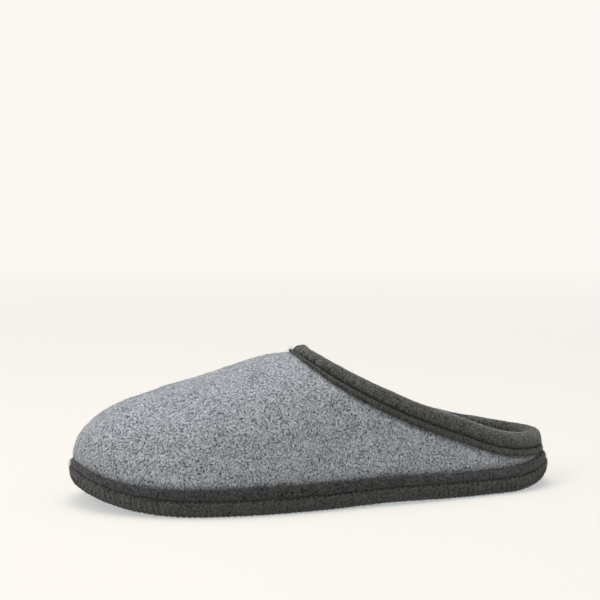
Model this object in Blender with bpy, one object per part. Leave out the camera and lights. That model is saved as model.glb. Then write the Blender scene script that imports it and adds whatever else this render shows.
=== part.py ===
import bpy
import bmesh
import numpy as np
from math import pi

# Overall sizes in metres, of the left slipper of a pair
LENGTH = 0.2768
BALL_WIDTH = 0.101
INSTEP_HEIGHT = 0.0800
HEEL_HEIGHT = 0.0290

# Felt, sole and clearance sizes
FELT_WALL = 0.0030
SOLE_THICKNESS = 0.0090
INSOLE_THICKNESS = 0.0045
INSOLE_CHAMFER = 0.0011
INSOLE_CLEARANCE = 0.0009
CLEARANCE = 0.0003

# Sole bend: toe spring, heel spring and waist arch
TOE_SPRING = 0.0119
HEEL_SPRING = 0.0058
ARCH_RISE = 0.0010
TOE_BREAK_SHARE = 0.745
ARCH_FRONT_SHARE = 0.54
ARCH_BACK_SHARE = 0.20
HEEL_BREAK_SHARE = 0.11
TOE_BEND_POWER = 3.0
HEEL_BEND_POWER = 1.6

# Rand around the foot of the upper
RAND_HEIGHT = 0.0058
RAND_WALL = 0.0024
RAND_LEDGE = 0.0006

# Collar binding
BINDING_DEPTH = 0.0110
BINDING_RISE = 0.0027
BINDING_ROLL = 0.0023

# Border ring on the sole's underside
BORDER_WIDTH = 0.0072
BORDER_GROOVE = 0.0012
BORDER_SLOPE = 0.0003
BORDER_DEPTH = 0.0007

# Fullness of the upper: 2 is an ellipse, more is boxier
FULL_ACROSS = 2.1
TOE_FAN = 0.046
HEEL_FAN = 0.060
SIDE_BELLY = 0.0016
BELLY_HEIGHT = 0.030

# Columns around the shoe and rows up the upper
FRONT_COLUMNS = 20
BACK_COLUMNS = 26
UPPER_ROWS = 12
TRACK_STEPS = 12

# Working values of the shape's sums
ONE_TURN = 1.0
NUDGE = 1e-4
JOIN_DISTANCE = 0.00003
HALVINGS = 50
THROAT_SEARCH = (0.2, 0.8)
BELLY_PEAK = 4 / 27

# Sole outline from heel to toe, as shares:
# way along LENGTH, lateral half width and medial half width of BALL_WIDTH
OUTLINE = (
    (0.000, 0.000, 0.000),
    (0.022, 0.176, 0.174),
    (0.075, 0.288, 0.280),
    (0.160, 0.350, 0.333),
    (0.300, 0.422, 0.358),
    (0.450, 0.475, 0.380),
    (0.600, 0.533, 0.428),
    (0.700, 0.541, 0.459),
    (0.790, 0.512, 0.454),
    (0.870, 0.435, 0.422),
    (0.940, 0.312, 0.325),
    (0.985, 0.158, 0.168),
    (1.000, -0.010, 0.010),
)

# Ridge of the upper: way along LENGTH, height as a share of INSTEP_HEIGHT,
# sideways place as a share of BALL_WIDTH, lateral positive, and fullness of the walls below it
RIDGE = (
    (0.00, 1.03, 0.000, 1.15),
    (0.30, 1.03, 0.020, 1.15),
    (0.50, 1.00, 0.015, 2.10),
    (0.60, 0.98, 0.010, 2.30),
    (0.70, 0.885, 0.015, 2.35),
    (0.80, 0.79, 0.010, 2.40),
    (0.90, 0.70, 0.000, 2.40),
    (1.00, 0.73, -0.010, 2.40),
)

# Edge of the collar: way along LENGTH, and the way up from HEEL_HEIGHT to INSTEP_HEIGHT,
# on the lateral side and on the medial side
COLLAR = (
    (0.00, 0.00, 0.00),
    (0.06, 0.01, 0.01),
    (0.14, 0.08, 0.08),
    (0.22, 0.24, 0.18),
    (0.30, 0.405, 0.35),
    (0.40, 0.65, 0.62),
    (0.50, 0.93, 0.93),
    (0.62, 1.32, 1.32),
)

# Side of the sole from its top edge down: inset as a share of SOLE_THICKNESS, height as a share of it
SOLE_SIDE = (
    (0.10, 1.00),
    (0.02, 0.93),
    (0.00, 0.75),
    (0.03, 0.50),
    (0.13, 0.26),
    (0.30, 0.09),
    (0.55, 0.00),
)

# Rand: way from toe to heel, share of RAND_HEIGHT
RAND_TAPER = (
    (0.00, 0.74),
    (0.10, 0.80),
    (0.20, 1.00),
    (0.80, 0.92),
    (0.93, 0.95),
    (1.00, 0.80),
)

# Rand section from foot to top and back: share of its height, share of RAND_WALL
RAND_SECTION = (
    (0.00, 0.00),
    (0.00, 0.95),
    (0.45, 1.00),
    (0.82, 0.88),
    (1.00, 0.50),
    (1.00, 0.00),
    (0.50, 0.00),
)

# Outside of the binding from the flap's lower edge up: share of its depth, share of BINDING_ROLL
BINDING_OUTSIDE = (
    (1.00, 0.38),
    (0.77, 0.52),
    (0.63, 0.30),
    (0.54, 0.80),
    (0.30, 1.00),
    (0.00, 0.95),
    (-0.17, 0.70),
)

# Inside of the binding from the crest down, in the same shares
BINDING_INSIDE = (
    (-0.17, 0.70),
    (0.00, 0.95),
    (0.30, 1.00),
    (0.62, 0.60),
    (0.90, 0.15),
)

# Materials: base colour, roughness, metallic
FINISHES = {
    "outsole": ((0.050, 0.053, 0.050), 0.80, 0.0),
    "rand": ((0.030, 0.032, 0.032), 0.95, 0.0),
    "upper": ((0.300, 0.315, 0.325), 0.95, 0.0),
    "collar_binding": ((0.075, 0.078, 0.072), 0.95, 0.0),
    "insole": ((0.220, 0.225, 0.225), 0.95, 0.0),
}


def natural_spline(places, values, at):
    """Value at each place of the smooth curve through the rows of a table."""
    places = np.asarray(places, float)
    values = np.asarray(values, float)
    count = len(places)
    gap = np.diff(places)
    system = np.eye(count)
    bend = np.zeros(count)
    for i in range(1, count - 1):
        system[i, i - 1:i + 2] = (gap[i - 1] / 6, (gap[i - 1] + gap[i]) / 3, gap[i] / 6)
        bend[i] = (values[i + 1] - values[i]) / gap[i] - (values[i] - values[i - 1]) / gap[i - 1]
    bend = np.linalg.solve(system, bend)
    at = np.clip(np.asarray(at, float), places[0], places[-1])
    i = np.clip(np.searchsorted(places, at, side="right") - 1, 0, count - 2)
    low = (places[i + 1] - at) / gap[i]
    high = (at - places[i]) / gap[i]
    curve = (low ** 3 - low) * bend[i] + (high ** 3 - high) * bend[i + 1]
    return low * values[i] + high * values[i + 1] + curve * gap[i] ** 2 / 6


def closed_spline(places, values, at):
    """Points at the given places of the smooth closed curve through the values; one turn is 1."""
    count = len(places)
    gap = np.diff(np.append(places, places[0] + ONE_TURN))
    system = np.zeros((count, count))
    bend = np.zeros_like(values)
    for i in range(count):
        after = (i + 1) % count
        system[i, i - 1] += gap[i - 1] / 6
        system[i, i] += (gap[i - 1] + gap[i]) / 3
        system[i, after] += gap[i] / 6
        bend[i] = (values[after] - values[i]) / gap[i] - (values[i] - values[i - 1]) / gap[i - 1]
    bend = np.linalg.solve(system, bend)
    turn = np.mod(at, ONE_TURN)
    i = np.clip(np.searchsorted(places, turn, side="right") - 1, 0, count - 1)
    after = (i + 1) % count
    low = ((places[i] + gap[i] - turn) / gap[i])[..., None]
    high = ((turn - places[i]) / gap[i])[..., None]
    curve = (low ** 3 - low) * bend[i] + (high ** 3 - high) * bend[after]
    return low * values[i] + high * values[after] + curve * gap[i][..., None] ** 2 / 6


def outline_rows():
    """The outline's rows as one closed turn, toe to heel on the lateral side and back on the medial side."""
    lateral = [(way * LENGTH, out * BALL_WIDTH) for way, out, _ in reversed(OUTLINE)]
    medial = [(way * LENGTH, -out * BALL_WIDTH) for way, _, out in OUTLINE]
    return np.array(lateral), np.array(medial)


def outline_places(lateral, medial):
    """Place of each row on the turn: toe at 0, heel at a half."""
    places = []
    for start, side in ((0, lateral), (0.5, medial)):
        steps = np.linalg.norm(np.diff(side, axis=0), axis=1)
        way = np.append(0, np.cumsum(steps)) / steps.sum()
        places.extend(start + way[:-1] / 2)
    return np.array(places)


LATERAL_ROWS, MEDIAL_ROWS = outline_rows()
PLACES = outline_places(LATERAL_ROWS, MEDIAL_ROWS)
ROWS = np.vstack([LATERAL_ROWS[:-1], MEDIAL_ROWS[:-1]])


def rim(turn, inset=0.0):
    """Plan point of the sole's outline at a place on the turn, moved in by the inset."""
    turn = np.asarray(turn, float)
    along = closed_spline(PLACES, ROWS, turn + NUDGE) - closed_spline(PLACES, ROWS, turn - NUDGE)
    along /= np.linalg.norm(along, axis=-1, keepdims=True)
    outward = np.stack([along[..., 1], -along[..., 0]], axis=-1)
    return closed_spline(PLACES, ROWS, turn) - outward * inset


def lift(x):
    """Height of the sole's underside above the floor."""
    way = np.asarray(x, float) / LENGTH
    toe = np.clip((way - TOE_BREAK_SHARE) / (1 - TOE_BREAK_SHARE), 0, None) ** TOE_BEND_POWER
    heel = np.clip((HEEL_BREAK_SHARE - way) / HEEL_BREAK_SHARE, 0, None) ** HEEL_BEND_POWER
    waist = np.clip((way - ARCH_BACK_SHARE) / (ARCH_FRONT_SHARE - ARCH_BACK_SHARE), 0, 1)
    return TOE_SPRING * toe + HEEL_SPRING * heel + ARCH_RISE * np.sin(pi * waist) ** 2


def foot_height(x):
    """Height of the upper's lower edge."""
    return lift(x) + SOLE_THICKNESS + CLEARANCE


def ridge_height(x):
    """Height of the upper's ridge, and of its unseen run above the collar."""
    ways, shares, _, _ = zip(*RIDGE)
    return natural_spline(ways, shares, np.asarray(x) / LENGTH) * INSTEP_HEIGHT


def ridge_side(x):
    """Sideways place of the ridge."""
    ways, _, shares, _ = zip(*RIDGE)
    return natural_spline(ways, shares, np.asarray(x) / LENGTH) * BALL_WIDTH


def fullness(x):
    """Fullness of the walls: 2 is an ellipse, less leans in sooner."""
    ways, _, _, full = zip(*RIDGE)
    return natural_spline(ways, full, np.asarray(x) / LENGTH)


def collar_height(x, side):
    """Height of the felt's top edge around the collar, on one side."""
    ways, lateral, medial = zip(*COLLAR)
    shares = lateral if side > 0 else medial
    return HEEL_HEIGHT + natural_spline(ways, shares, np.asarray(x) / LENGTH) * (INSTEP_HEIGHT - HEEL_HEIGHT)


def ridge_point(way):
    """Plan point of the ridge that a column of the upper runs up to; the columns fan out at toe and heel."""
    x = (rim(way / 2)[..., 0] + rim(-way / 2)[..., 0]) / 2
    ahead = LENGTH - x
    toe = np.hypot(ahead, TOE_FAN) - ahead
    heel = np.hypot(x, HEEL_FAN) - x
    x = x - toe + heel
    return np.stack([x, ridge_side(x)], axis=-1)


FOOT_INSET = RAND_LEDGE + RAND_WALL + CLEARANCE


def skin(way, angle):
    """Point of the felt's outer face.

    way runs from 0 at the toe to 1 at the heel, angle from 0 on the ridge to a quarter turn
    at the foot, positive on the lateral side.
    """
    way, angle = np.broadcast_arrays(np.asarray(way, float), np.asarray(angle, float))
    side = np.where(angle < 0, -1.0, 1.0)
    foot = rim(side * way / 2, FOOT_INSET)
    ridge = ridge_point(way)
    out = np.abs(np.sin(angle))
    plan = ridge + (foot - ridge) * out[..., None]
    low = foot_height(plan[..., 0])
    tall = ridge_height(plan[..., 0]) - low
    z = low + tall * np.clip(1 - out ** FULL_ACROSS, 0, None) ** (1 / fullness(plan[..., 0]))
    climb = np.clip((z - low) / BELLY_HEIGHT, 0, 1)
    belly = SIDE_BELLY * climb * (1 - climb) ** 2 / BELLY_PEAK
    reach = (foot - ridge) / np.linalg.norm(foot - ridge, axis=-1, keepdims=True)
    plan = plan + reach * belly[..., None]
    return np.concatenate([plan, z[..., None]], axis=-1)


def slopes(way, angle):
    """Change of the skin along the shoe and around it, and its outward normal."""
    along = (skin(way + NUDGE, angle) - skin(way - NUDGE, angle)) / (2 * NUDGE)
    around = (skin(way, angle + NUDGE) - skin(way, angle - NUDGE)) / (2 * NUDGE)
    normal = np.cross(around, along)
    normal /= np.linalg.norm(normal, axis=-1, keepdims=True)
    return along, around, normal


def halve(miss, low, high):
    """Place between low and high where miss changes from negative to positive."""
    for _ in range(HALVINGS):
        middle = (low + high) / 2
        below = miss(middle) < 0
        low = np.where(below, middle, low)
        high = np.where(below, high, middle)
    return (low + high) / 2


def throat_way():
    """Way from toe to heel at which the collar's edge crosses the ridge."""
    def over(way):
        point = skin(way, 0.0)
        return point[..., 2] - collar_height(point[..., 0], 1)
    low, high = THROAT_SEARCH
    return float(halve(over, np.array(low), np.array(high)))


THROAT = throat_way()


def collar_angle(way, side):
    """Angle at which each column meets the collar's edge."""
    def under(angle):
        point = skin(way, side * angle)
        return collar_height(point[..., 0], side) - point[..., 2]
    return side * halve(under, np.zeros_like(way), np.full_like(way, pi / 2))


def columns():
    """Columns of the upper once around: way at the foot, way at the top, angle at the top and side."""
    front = np.linspace(0, THROAT, FRONT_COLUMNS + 1)
    turn = np.arange(1, BACK_COLUMNS + 1) / BACK_COLUMNS
    foot = np.append(front, THROAT + (1 - THROAT) * turn)
    top = np.append(front, THROAT + (1 - THROAT) * (1 - np.cos(pi * turn)) / 2)
    behind = np.arange(len(foot)) > FRONT_COLUMNS
    table = []
    for side in (1, -1):
        angle = np.where(behind, collar_angle(top, side), 0.0)
        table.append(np.stack([foot, top, angle, np.full_like(foot, side)], axis=1))
    return np.vstack([table[0], table[1][-2:0:-1]])


COLUMNS = columns()
TURNS = COLUMNS[:, 3] * COLUMNS[:, 0] / 2


def centre():
    """Middle of the sole's box, which becomes the origin."""
    plan = rim(TURNS)
    return np.append((plan.max(axis=0) + plan.min(axis=0)) / 2, 0.0)


CENTRE = centre()


def new_object(name, mesh_data):
    """A smooth-shaded object with its own material from a filled bmesh."""
    bmesh.ops.recalc_face_normals(mesh_data, faces=mesh_data.faces)
    mesh = bpy.data.meshes.new(name)
    mesh_data.to_mesh(mesh)
    mesh_data.free()
    mesh.shade_smooth()
    colour, roughness, metallic = FINISHES[name]
    material = bpy.data.materials.new(name)
    material.use_nodes = True
    shader = material.node_tree.nodes["Principled BSDF"]
    shader.inputs["Base Color"].default_value = (*colour, 1.0)
    shader.inputs["Roughness"].default_value = roughness
    shader.inputs["Metallic"].default_value = metallic
    mesh.materials.append(material)
    thing = bpy.data.objects.new(name, mesh)
    bpy.context.collection.objects.link(thing)
    return thing


def add_loops(mesh_data, loops):
    """Vertices of each closed loop of points."""
    return [[mesh_data.verts.new(point - CENTRE) for point in loop] for loop in loops]


def bridge(mesh_data, first, second):
    """Quads between two closed loops of the same count."""
    count = len(first)
    for i in range(count):
        after = (i + 1) % count
        mesh_data.faces.new((first[i], first[after], second[after], second[i]))


def cap(mesh_data, loop):
    """Faces across a loop that is ordered from the toe once around, pair by pair."""
    count = len(loop)
    half = count // 2
    mesh_data.faces.new((loop[0], loop[1], loop[-1]))
    for i in range(1, half - 1):
        mesh_data.faces.new((loop[i], loop[i + 1], loop[count - i - 1], loop[count - i]))
    mesh_data.faces.new((loop[half - 1], loop[half], loop[half + 1]))


def build_slab(name, loops):
    """Solid with loops up its side and a cap at either end."""
    mesh_data = bmesh.new()
    rings = add_loops(mesh_data, loops)
    for first, second in zip(rings, rings[1:]):
        bridge(mesh_data, first, second)
    cap(mesh_data, rings[0])
    cap(mesh_data, rings[-1])
    return new_object(name, mesh_data)


def build_ring(name, loops):
    """Solid ring whose section runs through the loops and closes on itself."""
    mesh_data = bmesh.new()
    rings = add_loops(mesh_data, loops)
    for first, second in zip(rings, rings[1:] + rings[:1]):
        bridge(mesh_data, first, second)
    return new_object(name, mesh_data)


def sole_loop(inset, height):
    """Loop around the sole at an inset from its outline and a height above its underside."""
    plan = rim(TURNS, inset)
    return np.column_stack([plan, lift(plan[:, 0]) + height])


def build_outsole():
    """Sole with a rolled side, and a groove that sets off the border ring underneath."""
    side = [(inset * SOLE_THICKNESS, height * SOLE_THICKNESS) for inset, height in SOLE_SIDE]
    groove_end = BORDER_WIDTH + BORDER_GROOVE
    under = [
        (BORDER_WIDTH, 0.0),
        (BORDER_WIDTH + BORDER_SLOPE, BORDER_DEPTH),
        (groove_end - BORDER_SLOPE, BORDER_DEPTH),
        (groove_end, 0.0),
    ]
    return build_slab("outsole", [sole_loop(inset, height) for inset, height in side + under])


def build_insole():
    """Felt insole that fills the upper's foot."""
    inset = FOOT_INSET + FELT_WALL + INSOLE_CLEARANCE
    base = SOLE_THICKNESS + CLEARANCE
    loops = [
        sole_loop(inset, base),
        sole_loop(inset, base + INSOLE_THICKNESS - INSOLE_CHAMFER),
        sole_loop(inset + INSOLE_CHAMFER, base + INSOLE_THICKNESS),
    ]
    return build_slab("insole", loops)


def rand_height(way):
    """Height of the rand, lower at toe and heel."""
    ways, shares = zip(*RAND_TAPER)
    return np.interp(way, ways, shares) * RAND_HEIGHT


def rand_loop(rise, out):
    """Loop on the upper's skin at a share of the rand's height, moved out by a share of its wall."""
    way = COLUMNS[:, 0]
    side = COLUMNS[:, 3]
    low = skin(way, side * pi / 2)
    climb = rise * rand_height(way)
    tall = ridge_height(low[:, 0]) - low[:, 2]
    share = (climb / tall) ** fullness(low[:, 0])
    angle = np.arcsin((1 - share) ** (1 / FULL_ACROSS))
    point = skin(way, side * angle)
    face = rim(TURNS, FOOT_INSET) - rim(TURNS, FOOT_INSET + CLEARANCE)
    outward = face / np.linalg.norm(face, axis=1, keepdims=True)
    point[:, :2] += outward * (CLEARANCE + out * RAND_WALL)
    point[:, 2] = lift(point[:, 0]) + SOLE_THICKNESS + CLEARANCE + climb
    return point


def build_rand():
    """Strip that leans on the upper's foot and stands on the sole's edge."""
    return build_ring("rand", [rand_loop(rise, out) for rise, out in RAND_SECTION])


def build_upper():
    """Hollow felt shell on the last, folded over the toe and cut away behind the throat."""
    rows = []
    for row in np.linspace(0, 1, UPPER_ROWS + 1):
        way = COLUMNS[:, 0] + (COLUMNS[:, 1] - COLUMNS[:, 0]) * row
        quarter = COLUMNS[:, 3] * pi / 2
        rows.append(skin(way, quarter + (COLUMNS[:, 2] - quarter) * row))
    mesh_data = bmesh.new()
    rings = add_loops(mesh_data, rows)
    for first, second in zip(rings, rings[1:]):
        bridge(mesh_data, first, second)
    bmesh.ops.remove_doubles(mesh_data, verts=rings[-1], dist=JOIN_DISTANCE)
    upper = new_object("upper", mesh_data)
    solidify = upper.modifiers.new("felt wall", "SOLIDIFY")
    solidify.thickness = FELT_WALL
    solidify.offset = -1
    return upper


def collar_tracks(depth):
    """Paths that run down the skin from the collar's edge, square to it: points, normals and first heading."""
    behind = np.abs(COLUMNS[:, 0]) >= THROAT - NUDGE
    edge = COLUMNS[behind]
    lateral = edge[edge[:, 3] > 0]
    medial = edge[edge[:, 3] < 0]
    edge = np.vstack([lateral, medial[medial[:, 0] > THROAT + NUDGE]])
    way = edge[:, 1]
    angle = edge[:, 2]
    along, around, normal = slopes(way, angle)
    point = skin(way, angle)
    forward = np.roll(point, -1, axis=0) - np.roll(point, 1, axis=0)
    heading = np.cross(forward, normal)
    heading /= np.linalg.norm(heading, axis=1, keepdims=True)
    first = heading
    points = [point]
    normals = [normal]
    stride = depth / TRACK_STEPS
    for _ in range(TRACK_STEPS):
        aa = (along * along).sum(axis=1)
        ab = (along * around).sum(axis=1)
        bb = (around * around).sum(axis=1)
        ah = (along * heading).sum(axis=1)
        bh = (around * heading).sum(axis=1)
        fixed = aa * bb - ab * ab
        way = way + stride * (ah * bb - bh * ab) / fixed
        angle = angle + stride * (bh * aa - ah * ab) / fixed
        along, around, normal = slopes(way, angle)
        heading = heading - normal * (heading * normal).sum(axis=1, keepdims=True)
        heading /= np.linalg.norm(heading, axis=1, keepdims=True)
        points.append(skin(way, angle))
        normals.append(normal)
    return np.array(points), np.array(normals), first


def build_collar_binding():
    """Felt strip folded over the collar's edge, rolled at the top with a flap outside."""
    points, normals, heading = collar_tracks(BINDING_DEPTH)
    way_of = points[0][:, 0]
    low = foot_height(way_of) + RAND_HEIGHT + CLEARANCE
    deep = np.minimum(BINDING_DEPTH, points[0][:, 2] - low)
    face = CLEARANCE
    back = -FELT_WALL - CLEARANCE
    section = [(1.0, 0.0, face)]
    section += [(drop, 0.0, face + out * BINDING_ROLL) for drop, out in BINDING_OUTSIDE]
    section += [(0.0, -BINDING_RISE, -FELT_WALL / 2)]
    section += [(drop, 0.0, back - out * BINDING_ROLL) for drop, out in BINDING_INSIDE]
    section += [(BINDING_INSIDE[-1][0], 0.0, back), (BINDING_INSIDE[-1][0] / 2, 0.0, back)]
    section += [(0.0, -CLEARANCE, back), (0.0, -CLEARANCE, face), (0.5, 0.0, face)]
    loops = []
    for share, rise, out in section:
        drop = share * deep + rise
        step = np.clip(drop / BINDING_DEPTH * TRACK_STEPS, 0, TRACK_STEPS - NUDGE)
        i = step.astype(int)
        part = (step - i)[:, None]
        each = np.arange(len(deep))
        point = points[i, each] * (1 - part) + points[i + 1, each] * part
        normal = normals[i, each] * (1 - part) + normals[i + 1, each] * part
        loops.append(point + normal * out + heading * np.minimum(drop, 0)[:, None])
    return build_ring("collar_binding", loops)


def main():
    """Clear the scene and build the slipper."""
    for thing in list(bpy.data.objects):
        bpy.data.objects.remove(thing, do_unlink=True)
    build_outsole()
    build_insole()
    build_upper()
    build_rand()
    build_collar_binding()


main()
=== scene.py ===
import logging
from collections.abc import Callable
from dataclasses import dataclass, field
from enum import Enum
from math import atan, cos, pi, radians, sin

import bmesh
import bpy
import numpy as np
from mathutils import Matrix, Vector


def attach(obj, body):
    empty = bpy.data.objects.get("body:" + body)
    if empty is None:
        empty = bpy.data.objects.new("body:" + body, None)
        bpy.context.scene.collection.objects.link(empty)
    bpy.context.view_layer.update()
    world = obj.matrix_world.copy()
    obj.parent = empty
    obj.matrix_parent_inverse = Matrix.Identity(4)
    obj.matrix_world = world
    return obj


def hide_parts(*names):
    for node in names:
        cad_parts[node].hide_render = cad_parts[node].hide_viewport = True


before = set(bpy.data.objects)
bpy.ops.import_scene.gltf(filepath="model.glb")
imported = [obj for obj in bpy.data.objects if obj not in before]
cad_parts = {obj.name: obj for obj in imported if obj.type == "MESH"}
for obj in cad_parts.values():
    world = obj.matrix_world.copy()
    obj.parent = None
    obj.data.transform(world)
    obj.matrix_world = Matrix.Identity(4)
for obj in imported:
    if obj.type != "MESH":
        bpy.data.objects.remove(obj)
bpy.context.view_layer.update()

LOG = logging.getLogger("felt slipper")
BODY = "root"
MM = 0.001
FLOAT = "NodeSocketFloat"
COLOUR = "NodeSocketColor"
VECTOR = "NodeSocketVector"
GEOMETRY = "NodeSocketGeometry"
BLACK = (0.0, 0.0, 0.0, 1.0)

# Random swells: shortest and longest wave against the usual one, and what brings them to about 1
SWELL_SPREAD = (0.7, 1.6)
SWELL_GAIN = 0.7

# Brings the highest value of s * (1 - s) ** 2 to 1
BELLY_GAIN = 27 / 4

# The binding's flap is shorter at the throat: by how much, and how far that reaches, in metres
THROAT_TRIM = 0.0021
THROAT_REACH = 0.024

# Sole outline from heel to toe: way along the length, lateral and medial half width
OUTLINE = (
    (0.000, 0.000, 0.000), (0.022, 0.176, 0.174), (0.075, 0.288, 0.280), (0.160, 0.350, 0.333),
    (0.300, 0.422, 0.358), (0.450, 0.475, 0.380), (0.600, 0.533, 0.428), (0.700, 0.541, 0.459),
    (0.790, 0.512, 0.454), (0.870, 0.435, 0.422), (0.940, 0.312, 0.325), (0.985, 0.158, 0.168),
    (1.000, -0.010, 0.010),
)

# Ridge of the upper: way along the length, height share, sideways share, fullness of the walls
RIDGE = (
    (0.00, 1.03, 0.000, 1.15), (0.30, 1.03, 0.020, 1.15), (0.50, 1.00, 0.015, 2.10),
    (0.60, 0.98, 0.010, 2.30), (0.70, 0.885, 0.015, 2.35), (0.80, 0.79, 0.010, 2.40),
    (0.90, 0.70, 0.000, 2.40), (1.00, 0.73, -0.010, 2.40),
)

# Edge of the collar: way along the length, way up from heel height to instep height on each side
COLLAR = (
    (0.00, 0.00, 0.00), (0.06, 0.01, 0.01), (0.14, 0.08, 0.08), (0.22, 0.24, 0.18),
    (0.30, 0.405, 0.35), (0.40, 0.65, 0.62), (0.50, 0.93, 0.93), (0.62, 1.32, 1.32),
)

# Side of the sole from its top edge down: inset and height as shares of its thickness
SOLE_SIDE = (
    (0.10, 1.00), (0.03, 0.94), (0.00, 0.76), (0.03, 0.50), (0.12, 0.26), (0.28, 0.09),
    (0.52, 0.01),
)

# Height of the rand from toe to heel, as a share
RAND_TAPER = (
    (0.00, 0.70), (0.06, 0.69), (0.13, 0.77), (0.22, 0.98), (0.80, 0.92), (0.93, 0.95),
    (1.00, 0.80),
)

# Section of the rand from its foot to its top and back: share of its height, share of its wall
RAND_SECTION = (
    (-0.02, 0.10), (-0.01, 0.62), (0.06, 0.92), (0.24, 1.04), (0.48, 1.02), (0.70, 0.82),
    (0.90, 0.50), (1.01, 0.24), (1.00, 0.03),
)

# Seen face of the binding, from under the flap up over the roll and down inside:
# millimetres down from the felt's edge, millimetres out from the felt's face
BINDING_FACE = (
    (10.95, 0.05), (11.10, 0.55), (10.75, 1.10), (9.80, 1.42), (8.80, 1.46), (7.75, 1.22),
    (7.25, 0.75), (7.08, 0.30), (6.75, 0.22), (6.55, 0.80), (6.38, 1.45), (5.75, 2.10),
    (4.50, 2.62), (2.90, 2.85), (1.10, 2.75), (-0.70, 2.25), (-2.05, 1.00), (-2.70, -0.90),
    (-2.55, -2.50), (-1.60, -4.20), (0.10, -5.20), (2.20, -5.65), (4.80, -5.30), (7.10, -4.45),
    (9.20, -3.75), (9.80, -3.35),
)

# Hidden face of the binding, folded over the felt's edge
BINDING_FOLD = (
    (9.20, -3.12), (4.50, -3.10), (0.40, -3.10), (-0.10, -2.80), (-0.10, -0.20), (0.40, 0.02),
    (5.00, 0.02), (10.40, 0.02),
)


def srgb(red: float, green: float, blue: float) -> tuple[float, float, float, float]:
    """Scene colour of an eight bit display colour.

    Args:
        red: Red from 0 to 255.
        green: Green from 0 to 255.
        blue: Blue from 0 to 255.

    Returns:
        Linear colour with full alpha.
    """
    shares = [level / 255 for level in (red, green, blue)]
    linear = [share / 12.92 if share <= 0.04045 else ((share + 0.055) / 1.055) ** 2.4 for share in shares]
    return (*linear, 1.0)


def natural_spline(places: np.ndarray, values: np.ndarray, at: np.ndarray) -> np.ndarray:
    """Values of the smooth curve through the rows of a table.

    Args:
        places: Places of the rows, rising.
        values: Value in each row.
        at: Places that are asked for.

    Returns:
        The value at each asked place.
    """
    places = np.asarray(places, float)
    values = np.asarray(values, float)
    count = len(places)
    gap = np.diff(places)
    system = np.eye(count)
    bend = np.zeros(count)
    for i in range(1, count - 1):
        system[i, i - 1:i + 2] = (gap[i - 1] / 6, (gap[i - 1] + gap[i]) / 3, gap[i] / 6)
        bend[i] = (values[i + 1] - values[i]) / gap[i] - (values[i] - values[i - 1]) / gap[i - 1]
    bend = np.linalg.solve(system, bend)
    at = np.clip(np.asarray(at, float), places[0], places[-1])
    i = np.clip(np.searchsorted(places, at, side="right") - 1, 0, count - 2)
    low = (places[i + 1] - at) / gap[i]
    high = (at - places[i]) / gap[i]
    curve = (low ** 3 - low) * bend[i] + (high ** 3 - high) * bend[i + 1]
    return low * values[i] + high * values[i + 1] + curve * gap[i] ** 2 / 6


def closed_spline(places: np.ndarray, values: np.ndarray, at: np.ndarray) -> np.ndarray:
    """Points of the smooth closed curve through the values, where one turn is 1.

    Args:
        places: Places of the values on the turn.
        values: One point a row.
        at: Places that are asked for.

    Returns:
        The point at each asked place.
    """
    count = len(places)
    gap = np.diff(np.append(places, places[0] + 1))
    system = np.zeros((count, count))
    bend = np.zeros_like(values)
    for i in range(count):
        after = (i + 1) % count
        system[i, i - 1] += gap[i - 1] / 6
        system[i, i] += (gap[i - 1] + gap[i]) / 3
        system[i, after] += gap[i] / 6
        bend[i] = (values[after] - values[i]) / gap[i] - (values[i] - values[i - 1]) / gap[i - 1]
    bend = np.linalg.solve(system, bend)
    turn = np.mod(at, 1)
    i = np.clip(np.searchsorted(places, turn, side="right") - 1, 0, count - 1)
    after = (i + 1) % count
    low = ((places[i] + gap[i] - turn) / gap[i])[..., None]
    high = ((turn - places[i]) / gap[i])[..., None]
    curve = (low ** 3 - low) * bend[i] + (high ** 3 - high) * bend[after]
    return low * values[i] + high * values[after] + curve * gap[i][..., None] ** 2 / 6


def smooth_line(rows: np.ndarray, count: int) -> np.ndarray:
    """Smooth open curve through rows of points, evenly spaced.

    Args:
        rows: One point a row.
        count: Number of points wanted.

    Returns:
        Points along the curve.
    """
    rows = np.asarray(rows, float)
    steps = np.append(0, np.cumsum(np.linalg.norm(np.diff(rows, axis=0), axis=1)))
    at = np.linspace(0, steps[-1], count)
    return np.stack([natural_spline(steps, rows[:, axis], at) for axis in range(rows.shape[1])], axis=-1)


def unit(vectors: np.ndarray) -> np.ndarray:
    """Vectors of length one."""
    return vectors / np.maximum(np.linalg.norm(vectors, axis=-1, keepdims=True), 1e-12)


def swell(points: np.ndarray, wavelength: float, seed: int, waves: int = 28) -> np.ndarray:
    """Smooth random rise and fall over space, roughly from -1 to 1.

    Args:
        points: Places in metres.
        wavelength: Usual distance from crest to crest.
        seed: Fixed seed.
        waves: Number of plane waves that are added.

    Returns:
        One value a point.
    """
    chance = np.random.default_rng(seed)
    heading = unit(chance.normal(size=(waves, 3)))
    reach = wavelength * chance.uniform(*SWELL_SPREAD, waves)
    phase = chance.uniform(0, 2 * pi, waves)
    total = np.zeros(points.shape[:-1])
    for way, length, start in zip(heading, reach, phase):
        total += np.sin(points @ way * (2 * pi / length) + start)
    return total / (waves / 2) ** 0.5 * SWELL_GAIN


class Side(Enum):
    """Side of the left slipper."""

    LATERAL = 1
    MEDIAL = -1


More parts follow.
